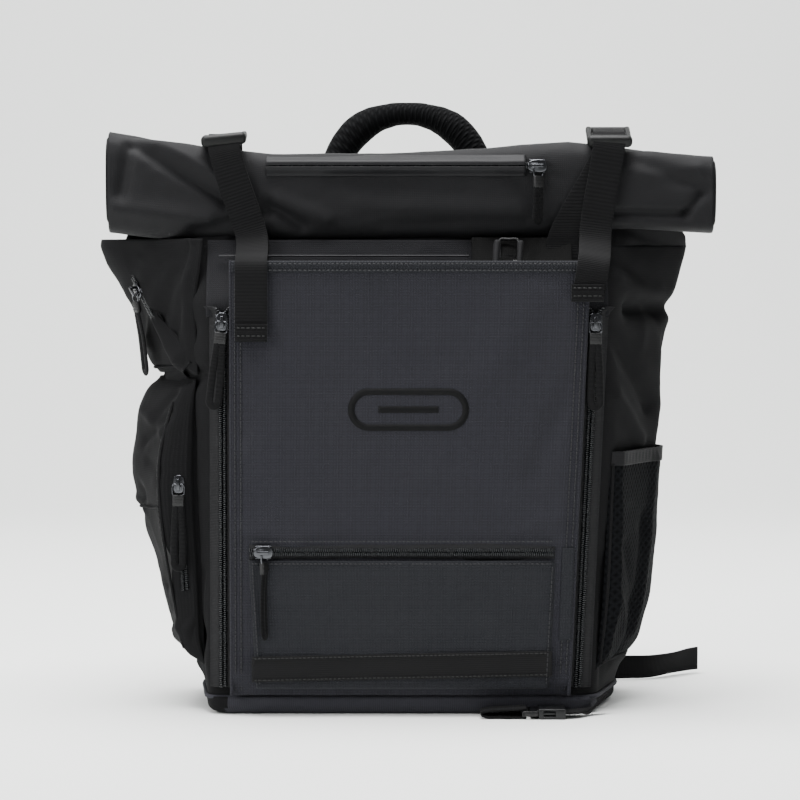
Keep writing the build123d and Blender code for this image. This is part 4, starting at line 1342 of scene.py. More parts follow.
        def place(u: float, v: float) -> Vector:
            """A point of the band, which climbs a little to the right."""
            x = -124 + 234 * u
            z = 27.5 + 20 * v + 4.5 * u
            return mm(x, -97.5 - 0.5 * math.sin(x / 24) - 0.25 * math.sin(math.pi * v), z)

        obj = surface("label band", 120, 10, place, (0.234, 0.02), Vector((0, 0, 0.07)), thick=0.0012)
        dress(obj, BAND_WEBBING, "front_panel", "label_band")
        for off in (1.6, 18.4):
            route = [mm(x, -98.1 - 0.5 * math.sin(x / 24), 27.5 + off + 4.5 * (x + 124) / 234)
                     for x in range(-122, 111, 12)]
            stitches("band stitches", route, FORWARD, DARK_THREAD, "front_panel")

    def emblem(self) -> None:
        """A plain ring with a bar in it, pressed into the panel as dark film."""
        mesh = bmesh.new()
        ring = bmesh.ops.create_grid(mesh, x_segments=96, y_segments=1, size=0.5)
        for vert in ring["verts"]:
            turn = (vert.co.x + 0.5) * 2 * math.pi
            half_x, half_z = (47.0, 16.5) if vert.co.y > 0 else (42.0, 11.5)
            x = math.copysign(half_x - half_z, math.cos(turn)) + half_z * math.cos(turn)
            z = 240 + half_z * math.sin(turn)
            vert.co = mm(x - 2, self.face(x - 2, z) - 0.35, z)
        bmesh.ops.remove_doubles(mesh, verts=mesh.verts, dist=1e-6)
        made = bmesh.ops.create_grid(mesh, x_segments=40, y_segments=3, size=0.5)
        for vert in made["verts"]:
            x, z = -2 + vert.co.x * 47, 240 + vert.co.y * 5.0
            vert.co = mm(x, self.face(x, z) - 0.35, z)
        bmesh.ops.recalc_face_normals(mesh, faces=mesh.faces)
        for face in mesh.faces:
            if face.normal.y > 0:
                face.normal_flip()
        obj = to_object("emblem", mesh)
        modifier(obj, "SOLIDIFY", thickness=0.0005, offset=-1.0)
        dress(obj, PRESSED_FILM, "front_panel", "emblem")


# ---- Roll and closure -------------------------------------------------------


@dataclass
class RollTop:
    """The rolled mouth: a soft bundle with flat cut ends and its zip in front.

    Attributes:
        sections: (across, lowest, highest) at a few places.
        front_y: its front face.
        back_y: its back face.
        front_folds: folds on the front face, in (across, height).
        top_folds: folds on the top face, in (across, front to back).
    """

    sections: tuple[tuple[float, float, float], ...] = (
        (-239, 378.5, 457), (-200, 374, 451), (-155, 372, 444.5), (-110, 371.5, 439), (-40, 372.5, 440),
        (54, 373, 443.5), (100, 375, 448), (125, 376.5, 449.5), (150, 379, 447), (175, 380.5, 444),
        (239, 377.5, 438),
    )
    front_y: float = -60.0
    back_y: float = -12.0
    front_folds: tuple[Fold, ...] = (
        Fold((-218, 449), (-146, 402), 5.5, -6.4), Fold((-212, 456), (-148, 416), 6.5, 3.8),
        Fold((-198, 444), (-152, 416), 3.5, -3.0), Fold((-222, 446), (-228, 408), 5, -4.0),
        Fold((-232, 398), (-160, 388), 7, 3.6), Fold((-170, 380), (-112, 392), 5, -3.4),
        Fold((-112, 400), (-86, 382), 5, -5.2), Fold((-104, 404), (-66, 390), 6, 2.8),
        Fold((-60, 420), (40, 412), 9, -1.5), Fold((-40, 400), (84, 396), 7, 1.4),
        Fold((-20, 384), (90, 386), 5, -1.6),
        Fold((150, 393), (216, 392), 3.6, -4.2), Fold((216, 392), (229, 408), 3.4, -4.0),
        Fold((150, 385), (236, 384), 4.5, 2.6), Fold((176, 436), (232, 412), 7, -3.0),
        Fold((180, 424), (226, 428), 6, 1.6), Fold((60, 440), (96, 404), 8, -1.4),
    )
    top_folds: tuple[Fold, ...] = (Fold((-230, -50), (-150, -20), 8, -2.2),
                                   Fold((-60, -24), (60, -30), 7, -1.6),
                                   Fold((170, -44), (236, -24), 7, -1.8))

    def bounds(self, x: float) -> tuple[float, float]:
        """The lowest and highest line at a place along it."""
        low = table_at([(at, low) for at, low, _ in self.sections], x)
        return low, table_at([(at, high) for at, _, high in self.sections], x)

    def skin(self, x: float, turn: float) -> Vector:
        """A point of the skin, in millimetres.

        Args:
            x: across.
            turn: angle round the section, from the back, over the top.

        Returns:
            The point.
        """
        low, high = self.bounds(x)
        half_y, half_z = (self.back_y - self.front_y) / 2, (high - low) / 2
        a, b = math.cos(turn), math.sin(turn)
        power = (abs(a) ** 3.6 + abs(b) ** 3.6) ** (-1 / 3.6)
        y = (self.front_y + self.back_y) / 2 + a * power * half_y
        z = (low + high) / 2 + b * power * half_z
        normal = Vector((0, a, b * 0.7)).normalized()
        front, top = smooth_step(0.3, 0.95, -a), smooth_step(0.5, 0.95, b)
        push = crumple(mm(x, y, z), 0.05, 1.3) + crumple(mm(x * 0.6, y, z * 1.6), 0.016, 0.5)
        push += front * folds_at(self.front_folds, x, z) + top * folds_at(self.top_folds, x, y)
        return Vector((x, y, z)) + normal * push

    def build(self) -> None:
        """Builds the bundle, its layered ends, the welded band and the zip."""
        columns, rows, cap = 120, 260, 8

        def place(u: float, v: float) -> Vector:
            """A point of the skin; the first and last rows draw in to close the ends."""
            row, turn = round(v * rows), -u * 2 * math.pi
            share = min(1.0, max(0.0, (row - cap) / (rows - 2 * cap)))
            x = -238.5 + 477 * share
            at = self.skin(x, turn)
            inside = max(0, cap - row, row - (rows - cap)) / cap
            if inside:
                low, high = self.bounds(x)
                centre = Vector((x, (self.front_y + self.back_y) / 2, (low + high) / 2))
                at = at.lerp(centre, 1 - (1 - inside) ** 1.0)
                ripple = 0.9 * math.sin(inside * 16)
                at.x += math.copysign(ripple + 0.6 * (1 - inside), -x) if inside < 1 else 0.0
            return at / 1000

        obj = surface("roll", columns, rows, place, (0.23, 0.477), Vector((0, -0.036, 0.41)), True, 0.0)
        close_seams(obj)
        dress(obj, ROLL_POLYESTER, "roll_top", "roll_bundle")
        self.ends()
        self.front_zip()
        LOG.info("roll built")

    def ends(self) -> None:
        """The edge of the rolled cloth, wound into a flat spiral at each end."""
        for x in (-239.4, 239.4):
            low, high = self.bounds(x)
            route = []
            for i in range(54):
                share = i / 53
                turn = share * 3.4 * 2 * math.pi
                shrink = 1 - 0.82 * share
                a, b = math.cos(turn), math.sin(turn)
                power = (abs(a) ** 3.2 + abs(b) ** 3.2) ** (-1 / 3.2)
                route.append(mm(x, -36 + a * power * 22.5 * shrink,
                                (low + high) / 2 + b * power * ((high - low) / 2 - 2.0) * shrink))
            across = [ACROSS] * len(route)
            dress(webbing("rolled edge", route, across, 0.0022, 0.0009, 300), ROLL_POLYESTER, "roll_top")

    def front_zip(self) -> None:
        """The zip set in the roll's front, under welded film."""
        for low, high, name in ((422.0, 429.6, "lower film"), (430.6, 439.0, "upper film")):

            def place(u: float, v: float, low: float = low, high: float = high) -> Vector:
                """A point of a welded film strip."""
                x = -114 + 204 * u
                z = low + (high - low) * v
                at = self.skin(x, self.turn_at(x, z))
                near = v if low < 430 else 1 - v
                over = -64.5 + 0.1 * math.sin(x / 17)
                return mm(x, at.y - 0.9 + (over - at.y + 0.9) * smooth_step(0.05, 0.75, near), z)

            obj = surface(name, 110, 10, place, (0.204, 0.011), Vector((0, 0, 0.43)), thick=0.0006)
            dress(obj, WELDED_TAPE, "roll_top")
        chain = ZipChain("roll zip", ROLL_ZIP, 219, ("roll_top", "roll_top"), (0.4, 0.4), tape=3.0, pitch=1.4)
        chain.build("roll_zip")
        Slider("roll_zip_slider", ROLL_ZIP, 212).build()
        face = Matrix.Rotation(math.radians(38), 3, Vector((0, 0, 1))) @ FORWARD
        Pull("roll_zip_pull", ROLL_ZIP.at(212, 0, PULL_HEIGHT), Vector((0, 0, -1)), face, loop=30.0,
             split=4.6,
             offset=1.0).build()

    def turn_at(self, x: float, z: float) -> float:
        """The angle round the section at which the front face passes a height."""
        low, high = self.bounds(x)
        share = max(-0.98, min(0.98, (z - (low + high) / 2) / ((high - low) / 2)))
        tall = abs(share) ** 3.6
        a = (1 - tall) ** (1 / 3.6)
        return math.atan2(share, -a)


@dataclass
class Collar:
    """The cloth between the body's rim and the roll, gathered into pleats."""

    pleats: int = 9

    def build(self) -> None:
        """Builds the collar."""
        count = 300
        rim = FORM.ring(RIM_Z, count)

        def place(u: float, v: float) -> Vector:
            """A point of the collar."""
            i = round(u * count) % count
            at = rim[i] * 1000
            side = smooth_step(120, 175, abs(at.x))
            top = Vector((at.x * (0.98 - 0.04 * side), 0, 0))
            share = min(1.0, max(0.0, (at.y - MOUTH_Y) / (BACK_Y - MOUTH_Y)))
            top.y = -50 + 32 * share
            top.z = 380 + 36 * share
            mid = at.lerp(top, v)
            swell = math.sin(math.pi * v)
            wave = 3.0 * side * math.sin(i / count * 2 * math.pi * self.pleats * 2 + v * 2)
            push = crumple(mid / 1000, 0.03, 2.0) * (1 - v) + wave * swell - 5 * swell
            push += DENT.at(mid.x, 372) * (1 - v) * (1 if at.y < -40 else 0)
            push += 7 * side * math.sin(math.pi * v)
            normal = (Vector((at.x * 0.35, at.y, 0)) if side < 0.5 else Vector((at.x, 0, 0))).normalized()
            return (mid + normal * push) / 1000

        obj = surface("collar", count, 24, place, (1.0, 0.08), Vector((0, 0, 0.35)), True, 0.0012)
        obj.data.materials.clear()
        obj.data.materials.append(SIDE_POLYESTER.material())
        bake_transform(obj)
        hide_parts("collar")
        LOG.info("collar built")


@dataclass
class LadderLock:
    """A moulded ladder lock: two rails and three bars, its front lip turned up.

    Attributes:
        body: the frame body and node it is.
        x: its middle.
        low: its underside.
        tip: how much one side is higher than the other.
    """

    body: str
    x: float
    low: float
    tip: float = 0.0
    pitch: float = 16.0

    def build(self) -> None:
        """Builds the lock."""
        mesh = bmesh.new()
        across = Vector((1, 0, self.tip)).normalized()
        slope = math.radians(self.pitch)
        along = Vector((0, math.cos(slope), math.sin(slope)))
        along = (along - across * along.dot(across)).normalized()
        axes = (across, along, across.cross(along))

        def at(a: float, y: float, c: float) -> Vector:
            """A point of the lock."""
            return mm(self.x, -47, self.low + 1.0) + (across * a + along * (y + 47) + axes[2] * c) / 1000

        for side in (-15.2, 15.2):
            block(mesh, at(side, -49, 1.9), axes, (0.0046, 0.0296, 0.0056), 0.0018, 4)
        for y, size, high in ((-49.0, 0.0044, 1.8), (-36.2, 0.0046, 1.8)):
            block(mesh, at(0, y, high), axes, (0.034, size, 0.0046), 0.0015, 3)
        block(mesh, at(0, -62.4, 2.7), axes, (0.0356, 0.0084, 0.0096), 0.0038, 6)
        bmesh.ops.recalc_face_normals(mesh, faces=mesh.faces)
        dress(to_object(self.body, mesh), LOCK_ACETAL, self.body, self.body)
        turn = [at(0, y, c) for y, c in ((-59.5, 3.6), (-54, 4.4), (-49, 4.8), (-43, 4.4), (-38.6, 3.4))]
        loop = webbing(f"{self.body} turn", turn, [across] * 5, 0.0252, 0.0018, 16)
        dress(loop, STRAP_WEBBING, self.body)


@dataclass
class ClosureStraps:
    """The two straps over the roll, with their locks and back ties."""

    width: float = 25.0
    thick: float = 1.8

    def tail(self, name: str, route: Sequence[tuple[float, float, float]], hem_z: float) -> None:
        """One strap's tail, from the lock down the roll and the front panel."""
        points = [mm(*point) for point in route]
        across = [Vector((1, 0, 0.0)) for _ in route]
        for i in range(1, len(points) - 1):
            way = points[i + 1] - points[i - 1]
            lean = Vector((way.x, 0, way.z))
            if lean.length > 0.004:
                lean.normalize()
                across[i] = Vector((-lean.z, 0, lean.x)) if lean.z < 0 else across[i]
        obj = webbing(f"{name} tail", points, across, self.width / 1000, self.thick / 1000, 170)
        dress(obj, STRAP_WEBBING, "roll_top", f"{name}_strap_tail")
        last = points[-1]
        fold = [last + mm(0, -1.9, 12.5), last + mm(0, -2.1, 6), last + mm(0, -1.9, 1.0),
                last + mm(0, -0.6, -0.6)]
        hem = webbing(f"{name} hem", fold, [ACROSS] * 4, self.width / 1000, self.thick / 1000, 16)
        dress(hem, STRAP_WEBBING, "roll_top")
        for z in (hem_z + 3.4, hem_z + 9.6):
            line = [mm(last.x * 1000 + b, last.y * 1000 - 3.0, z) for b in (-11, 0, 11)]
            stitches("hem stitches", line, FORWARD, DARK_THREAD, "roll_top")

    def run(self, name: str, route: Sequence[tuple[float, float, float]]) -> None:
        """One strap's sewn end, up from the front wall into the lock."""
        points = [mm(*point) for point in route]
        obj = webbing(f"{name} run", points, [ACROSS] * len(points), self.width / 1000, self.thick / 1000, 90)
        obj.data.materials.append(STRAP_WEBBING.material())
        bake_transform(obj)
        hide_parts(f"{name}_strap_run")

    def tie(self, x: float, low: float) -> None:
        """One tie from the back rim round the lock's back bar."""
        route = [mm(x, BACK_Y + 1.2, 345), mm(x, BACK_Y + 1.2, 360), mm(x, BACK_Y, 371), mm(x, 60, 382),
                 mm(x, 10, 418),
                 mm(x, -18, 437), mm(x, -28, low - 0.5), mm(x, -33, low - 1.6), mm(x, -38.5, low - 1.0),
                 mm(x, -40, low + 1.6),
                 mm(x, -38.5, low + 4.2), mm(x, -33, low + 4.8), mm(x, -25, low + 0.5), mm(x, -18, 441)]
        obj = webbing("lock tie", route, [ACROSS] * len(route), self.width / 1000, self.thick / 1000, 150)
        obj.data.materials.append(STRAP_WEBBING.material())
        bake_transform(obj)
        if x < 0:
            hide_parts("lock_ties")

    def build(self) -> None:
        """Builds both straps, locks and ties."""
        LadderLock("left_ladder_lock", -147, 449.5, 0.1, 10.0).build()
        LadderLock("right_ladder_lock", 156, 452.2, 0.0, 24.0).build()
        self.tail("left", [(-147, -45.5, 454.6), (-147, -49.5, 454.8), (-147, -53.4, 453.2),
                           (-147, -56.5, 449.6),
                           (-147, -60, 448.3), (-146.8, -64, 447.3), (-146, -66.4, 442), (-143, -66.4, 430),
                           (-137, -65.6, 411), (-131, -65.0, 394), (-126, -65.4, 379), (-124.4, -70, 370),
                           (-124, -82, 362.5), (-124, -92.5, 357), (-124, -96.4, 349), (-124, -96.2, 330),
                           (-124, -95.9, 312), (-124, -95.6, 294)], 294)
        self.tail("right", [(156, -45.5, 457.3), (156, -49.5, 457.5), (156, -53.4, 455.9),
                            (156, -56.5, 452.4),
                            (156, -60, 451), (155.8, -64, 449.8), (155, -66.2, 444), (152, -65.8, 424),
                            (148, -65.2, 402), (145.4, -65.4, 384), (144.2, -70, 372), (143.2, -82, 364),
                            (142.0, -93, 357.5), (140.6, -96.8, 349), (138.6, -96.6, 337),
                            (136.6, -96.2, 325)], 325)
        self.run("left", [(-124, -73, 338), (-124, -63.4, 364), (-125, -62.4, 376), (-131, -62.6, 396),
                          (-141, -62.8, 425),
                          (-146, -62.4, 440), (-147, -58, 445.8), (-147, -50, 446.4), (-147, -46, 449),
                          (-147, -45.4, 453)])
        self.run("right", [(119, -73, 338), (119, -63.4, 364), (121, -62.4, 378), (132, -62.8, 400),
                           (148, -62.8, 428),
                           (155, -62.4, 443), (156, -58, 448.6), (156, -50, 449), (156, -46, 452),
                           (156, -45.4, 456)])
        self.tie(-147, 449.5)
        self.tie(156, 452.2)
        LOG.info("closure straps built")


# ---- Side pockets -----------------------------------------------------------


@dataclass
class FlankPocket:
    """A pocket sewn to one side, standing off the body.

    Attributes:
        name: its frame node.
        hand: -1 on the left and 1 on the right.
        bulges: (height, distance off the body).
        y_from: its front edge.
        y_to: its back edge.
        finish: its cloth.
        body: the form it is sewn to; not used.
        folds: folds in (front to back, height).
        wrinkle: depth of its small wrinkles.
        open_top: whether its top edge stands free.
    """

    name: str
    hand: int
    bulges: tuple[tuple[float, float], ...]
    y_from: float
    y_to: float
    finish: Cloth
    folds: tuple[Fold, ...] = ()
    wrinkle: float = 1.6
    open_top: bool = False
    thick: float = 0.0012

    def at(self, y: float, z: float, lift: float = 0.0) -> Vector:
        """A point of the pocket's cloth."""
        low, high = self.bulges[0][0], self.bulges[-1][0]
        edge = min(y - self.y_from, self.y_to - y, z - low, 99 if self.open_top else high - z)
        rise = soft_table(self.bulges, z, 6) * smooth_step(-3, 8, edge) - 1.0
        spot = FORM.flank(self.hand, y, z, 0)
        push = crumple(spot + Vector((0, 0.2, 0)), 0.036, self.wrinkle)
        push += crumple(spot, 0.014, self.wrinkle * 0.22)
        push += folds_at(self.folds, y, z)
        return FORM.flank(self.hand, y, z, rise + push * smooth_step(0, 12, edge) + lift)

    def build(self) -> bpy.types.Object:
        """Builds the pocket's cloth."""
        low, high = self.bulges[0][0], self.bulges[-1][0]
        columns, rows = int((self.y_to - self.y_from) / 1.6), int((high - low) / 1.7)

        def place(u: float, v: float) -> Vector:
            """A point of the cloth."""
            return self.at(self.y_from + (self.y_to - self.y_from) * u, low + (high - low) * v)

        size = ((self.y_to - self.y_from) * 1.5 / 1000, (high - low) / 1000)
        obj = surface(f"{self.name} cloth", columns, rows, place, size, mm(0, 0, (low + high) / 2),
                      thick=self.thick)
        return dress(obj, self.finish, "bag", self.name)

    def piping(self, route: Sequence[tuple[float, float]], radius: float = 0.0011, lift: float = 0.6) -> None:
        """A corded seam through (front to back, height) points."""
        points = [self.at(y, z, lift) for y, z in route]
        dress(tube(f"{self.name} piping", points, radius, Vector((self.hand, 0.2, 0.1)), rows=90, sides=8),
              SIDE_POLYESTER, "bag")

    def stitch(self, route: Sequence[tuple[float, float]]) -> None:
        """A row of stitches through (front to back, height) points."""
        points = [self.at(y, z, 0.4) for y, z in route]
        y, z = route[0]
        slope = FORM.flank(self.hand, y, z, 10) - FORM.flank(self.hand, y, z, 0)
        stitches(f"{self.name} stitches", points, slope.normalized(), DARK_THREAD, "bag")


UPPER = FlankPocket("upper_side_pocket", -1, ((266, 5.0), (290, 8.0), (373, 14.0)), -70, 60, SIDE_POLYESTER,
                    (Fold((-60, 272), (2, 366), 11, 3.0), Fold((24, 372), (24, 290), 20, 9.0),
                     Fold((-62, 366), (-30, 300), 8, -4.0), Fold((-50, 352), (-6, 290), 7, 3.4),
                     Fold((-66, 330), (-40, 276), 6, -3.0), Fold((-16, 362), (0, 300), 7, -3.6),
                     Fold((10, 350), (40, 290), 9, 3.0)), 2.0, True)
POUCH = FlankPocket("side_pouch", -1, ((36, 1), (42, 11), (57, 18), (83, 20), (116, 22), (133, 26),
                                            (154, 29), (180, 31), (200, 29), (235, 20), (252, 12), (263, 2)),
                                            -66, 62,
                    SIDE_POLYESTER,
                    (Fold((-52, 250), (-34, 232), 5, -3.0), Fold((-58, 236), (-20, 212), 6, -3.4),
                     Fold((-50, 222), (-8, 236), 5, 2.8), Fold((-16, 170), (6, 148), 7, -4.2),
                     Fold((-14, 158), (4, 162), 5, 3.0), Fold((-56, 120), (-20, 96), 7, -2.6),
                     Fold((-40, 84), (0, 62), 7, -3.0), Fold((-58, 66), (-10, 52), 5, 2.6),
                     Fold((-60, 190), (-30, 196), 5, -2.0)), 1.8)
MESH = FlankPocket("mesh_pocket", 1, ((34, 2), (46, 10), (84, 15), (127, 14), (174, 10), (206, 8)), -74, 60,
                   POCKET_MESH,
                   (Fold((-24, 150), (-34, 40), 8, -3.5), Fold((-10, 196), (-20, 60), 6, 2.6),
                    Fold((-60, 130), (-36, 84), 7, -2.0), Fold((-66, 90), (-30, 52), 6, 2.0)), 1.3, True, 0.0)


def upper_zip(ends: tuple[tuple[float, float], tuple[float, float]]) -> Place3:
    """The spot of the zip that stands off the upper pocket's front face.

    Args:
        ends: (height, share of the way from the front corner to the ridge) of both ends.

    Returns:
        The spot, from the low end.
    """
    points = []
    for z, share in ends:
        at, grow = FRAME_FORM.level(z), table_at(UPPER_BULGES, z)
        corner = Vector((at.shift - at.front - grow, at.y_front - grow, z))
        ridge = Vector((-at.side - grow, FRAME_FORM.ridge_y, z))
        points.append(corner.lerp(ridge, share))
    middle = FRAME_FORM.level((ends[0][0] + ends[1][0]) / 2)
    edge = Vector((-middle.side - middle.shift + middle.front, FRAME_FORM.ridge_y - middle.y_front, 0))
    out = (points[1] - points[0]).cross(edge).normalized()
    lift = out * 4.6
    return place_between((points[0] + lift) / 1000, (points[1] + lift) / 1000, out)


UPPER_BULGES = ((268, 6), (366, 16))


@dataclass
class SidePockets:
    """The two left pockets with their zips, and the mesh pocket on the right.

    Attributes:
        gusset_folds: folds on the pouch's front face, in (out from the body, height).
    """

    gusset_folds: tuple[Fold, ...] = (Fold((4, 226), (26, 204), 5, -2.4), Fold((2, 76), (24, 60), 6, 1.8),
                                      Fold((4, 160), (22, 158), 2.5, -1.4))

    def zip_at(self, place: Place3, length: float, name: str, at: float) -> None:
        """A zip with its slider and pull at a spot."""
        ZipChain(f"{name} zip", place, length, ("bag", "bag"), (-4.2, -4.2), tape=5.4,
                 tape_finish=SIDE_POLYESTER).build(f"{name}_zip")
        Slider(f"{name}_slider", place, at).build()
        Pull(f"{name}_pull", place.at(at, 0, PULL_HEIGHT), hanging(place), place.out).build()

    def build(self) -> None:
        """Builds all three pockets."""
        UPPER.build()
        UPPER.piping([(-66, 276), (-40, 272), (0, 270), (40, 272), (57, 276)])
        place = upper_zip(((276.0, 0.30), (361.0, 0.94)))
        self.zip_at(place, (361.0 - 276.0) / place.along.z, "upper_side", 76)
        self.zip_flap(place)
        POUCH.build()
        POUCH.piping([(-58, 50), (-58.5, 90), (-58.5, 150), (-58, 200), (-56, 244)])
        POUCH.piping([(-56, 162), (-40, 160), (-20, 159), (0, 158), (30, 158), (58, 158)], 0.0009)
        POUCH.stitch([(-54, 54), (-54.5, 100), (-54.5, 150), (-54, 200), (-53, 240)])
        self.gusset()
        self.zip_at(POUCH_ZIP, 102.2, "side_pouch", 84)
        self.mesh_pocket()
        LOG.info("side pockets built")

    def zip_flap(self, place: Place3) -> None:
        """The fold of cloth that hides the upper zip below its slider."""

        def spot(u: float, v: float) -> Vector:
            """A point of the fold, from one side of the zip to the other."""
            a = -9 + 62 * v
            wide = 13 - 9 * smooth_step(8, 53, a)
            b = wide * (2 * u - 1)
            lift = 2.4 * max(0.0, math.cos((u - 0.5) * math.pi)) ** 0.8 - 0.58 * wide * abs(2 * u - 1) ** 1.6
            end = 6.0 * (1 - smooth_step(-9, 4, a)) + 3.2 * smooth_step(44, 53, a)
            return place.at(a, b, lift - end + crumple(mm(a, b, 3), 0.02, 0.7))

        obj = surface("zip flap", 18, 44, spot, (0.03, 0.062), place.at(25, 0, -60), thick=0.0008)
        dress(obj, SIDE_POLYESTER, "bag")

    def gusset(self) -> None:
        """The pouch's front face, which looks forward and carries its zip."""

        def place(u: float, v: float) -> Vector:
            """A point of the face, from the body out to the pouch's edge."""
            z = 38 + 222 * v
            inner, outer = FORM.flank(-1, -63, z, -2) * 1000, POUCH.at(-56, z) * 1000
            at = inner.lerp(outer, u)
            belly = 1.6 * math.sin(math.pi * u) * smooth_step(0, 20, min(z - 38, 260 - z))
            push = crumple(mm(at.x, 50, z), 0.03, 0.9) + folds_at(self.gusset_folds, u * 30, z)
            return mm(at.x, -63.2 + 5.0 * u ** 6 - belly - push * math.sin(math.pi * u), z)

        obj = surface("pouch gusset", 26, 130, place, (0.03, 0.222), Vector((-0.18, 0, 0.15)), thick=0.0012)
        dress(obj, SIDE_POLYESTER, "bag")

    def mesh_pocket(self) -> None:
        """The mesh pocket with its elastic hem and bound edges."""
        knit = MESH.build()
        modifier(knit, "SOLIDIFY", thickness=0.0009, offset=-1.0)

        def hem(u: float, v: float) -> Vector:
            """A point of the hem."""
            y, z = -74 + 134 * u, 195 + 11.5 * v
            return MESH.at(y, min(z, 206), 1.3 + 0.15 * math.sin(u * 150) * math.sin(math.pi * v))

        obj = surface("mesh hem", 150, 10, hem, (0.2, 0.0115), Vector((0, 0, 0.2)), thick=0.0022)
        dress(obj, ROLL_POLYESTER, "bag", "mesh_pocket_hem")
        MESH.piping([(-72, 40), (-72.5, 90), (-72.5, 150), (-72.5, 196)], 0.0013)
        MESH.piping([(-70, 39), (-40, 39), (0, 39), (30, 39), (58, 39)], 0.0012)


# ---- Small hardware on webbing ---------------------------------------------


@dataclass
class CornerBuckle:
    """The side-release buckle on its corner strap, lying in front of the base.

    Attributes:
        y: its middle, front to back.
        z: its middle height.
    """

    y: float = -97.5
    z: float = 4.4
    width: float = 24.0

    def build(self) -> None:
        """Builds the socket, plug and both pieces of webbing."""
        mesh = bmesh.new()
        for z in (1.35, 7.45):
            block(mesh, mm(109.5, self.y, z), UPRIGHT, (0.021, 0.0238, 0.0019), 0.0008, 3)
        for side in (-1, 1):
            block(mesh, mm(116, self.y + side * 10.9, self.z), UPRIGHT, (0.008, 0.0022, 0.0076), 0.0008, 3)
            block(mesh, mm(101, self.y + side * 10.9, self.z), UPRIGHT, (0.004, 0.0022, 0.0076), 0.0008, 3)
        block(mesh, mm(118.4, self.y, self.z), UPRIGHT, (0.0032, 0.0236, 0.007), 0.001, 3)
        for x in (104.5, 107.0, 109.5):
            block(mesh, mm(x, self.y, 8.35), UPRIGHT, (0.0009, 0.012, 0.0005), 0.0001, 1)
        bmesh.ops.recalc_face_normals(mesh, faces=mesh.faces)
        dress(to_object("buckle socket", mesh), ACETAL, "bag", "buckle_socket")
        mesh = bmesh.new()
        block(mesh, mm(87.4, self.y, self.z), UPRIGHT, (0.0028, self.width / 1000, 0.0042), 0.001, 3)
        block(mesh, mm(95.6, self.y, self.z), UPRIGHT, (0.0062, self.width / 1000, 0.0042), 0.001, 3)
        for side in (-1, 1):
            block(mesh, mm(91, self.y + side * 11.2, self.z), UPRIGHT, (0.0096, 0.0016, 0.0042), 0.0006, 2)
            block(mesh, mm(105.6, self.y + side * 8.3, self.z), UPRIGHT, (0.0156, 0.0032, 0.0032), 0.0009, 3)
        block(mesh, mm(103.6, self.y, self.z), UPRIGHT, (0.0116, 0.0036, 0.0028), 0.0009, 3)
        bmesh.ops.recalc_face_normals(mesh, faces=mesh.faces)
        dress(to_object("buckle plug", mesh), ACETAL, "buckle_plug", "buckle_plug")
        loop = [mm(89.6, self.y, 7.9), mm(86, self.y, 7.7), mm(76, self.y, 7.2), mm(62, self.y, 6.4),
                mm(55.5, self.y, 5.2),
                mm(54.6, self.y, 3.6), mm(57, self.y, 2.1), mm(66, self.y, 1.5), mm(80, self.y, 1.2),
                mm(89.6, self.y, 1.3)]
        flat = [Vector((0, 1, 0))] * len(loop)
        dress(webbing("plug webbing", loop, flat, 0.02, 0.0014, 80), STRAP_WEBBING, "buckle_plug",
              "plug_tail")
        wrap = [mm(119.5, self.y, 4.6), mm(128, self.y + 1, 4.6), mm(137, -94, 5.2), mm(143.5, -89, 6.6),
                mm(146.5, -84.5, 8.6),
                mm(147.5, -81.0, 10.4)]
        lean = [Vector((0, 1, 0)), Vector((0.1, 1, 0)), Vector((0.6, 0.8, 0.12)), Vector((0.75, 0.45, 0.5)),
                Vector((0.75, 0.1, 0.8)), Vector((0.7, 0, 0.8))]
        dress(webbing("corner webbing", wrap, lean, 0.019, 0.0015, 50), STRAP_WEBBING, "bag", "corner_strap")
        LOG.info("corner buckle built")


@dataclass
class MouthHook:
    """The small webbing tab and wire hook inside the mouth."""

    x: float = 77.0

    def build(self) -> None:
        """Builds the tab and the hook."""
        slope = Vector((0, MOUTH_Y - FRONT_Y, RIM_Z - MOUTH_Z)).normalized()
        out = Vector((0, -slope.z, slope.y))
        foot = mm(self.x, FRONT_Y + (MOUTH_Y - FRONT_Y) * 12 / 46, 334)
        steps = ((0, 3.0), (8, 3.2), (16, 3.4), (23, 3.6), (27, 4.6))
        route = [foot + slope * a / 1000 + out * c / 1000 for a, c in steps]
        dress(webbing("hook tab", route, [ACROSS] * 5, 0.01, 0.0015, 30), STRAP_WEBBING, "bag", "inner_strap")
        corners = [(22, -7), (22, 0), (22, 7), (31, 7.2), (40, 7), (40.6, 0), (40, -7), (31, -7.2)]
        ring = [foot + slope * a / 1000 + Vector((b / 1000, 0, 0)) + out * 0.0046 for a, b in corners]
        dress(tube("mouth hook", ring, 0.0012, out, True, rows=80), ACETAL, "bag", "inner_hook")
        for x, radius in ((66.0, 0.0028), (84.5, 0.0022)):
            cord = [mm(x, -81.5, 350), mm(x + 0.5, -77.5, 360), mm(x + 1.5, -73.5, 370)]
            dress(tube("mouth cord", cord, radius, Vector((1, 0, 0)), rows=24), ROLL_POLYESTER, "bag")


# ---- Padded pieces ----------------------------------------------------------


def bake(obj: bpy.types.Object) -> None:
    """Replaces a piece's mesh with what its modifiers make of it."""
    graph = bpy.context.evaluated_depsgraph_get()
    data = bpy.data.meshes.new_from_object(obj.evaluated_get(graph))
    obj.modifiers.clear()
    obj.data = data


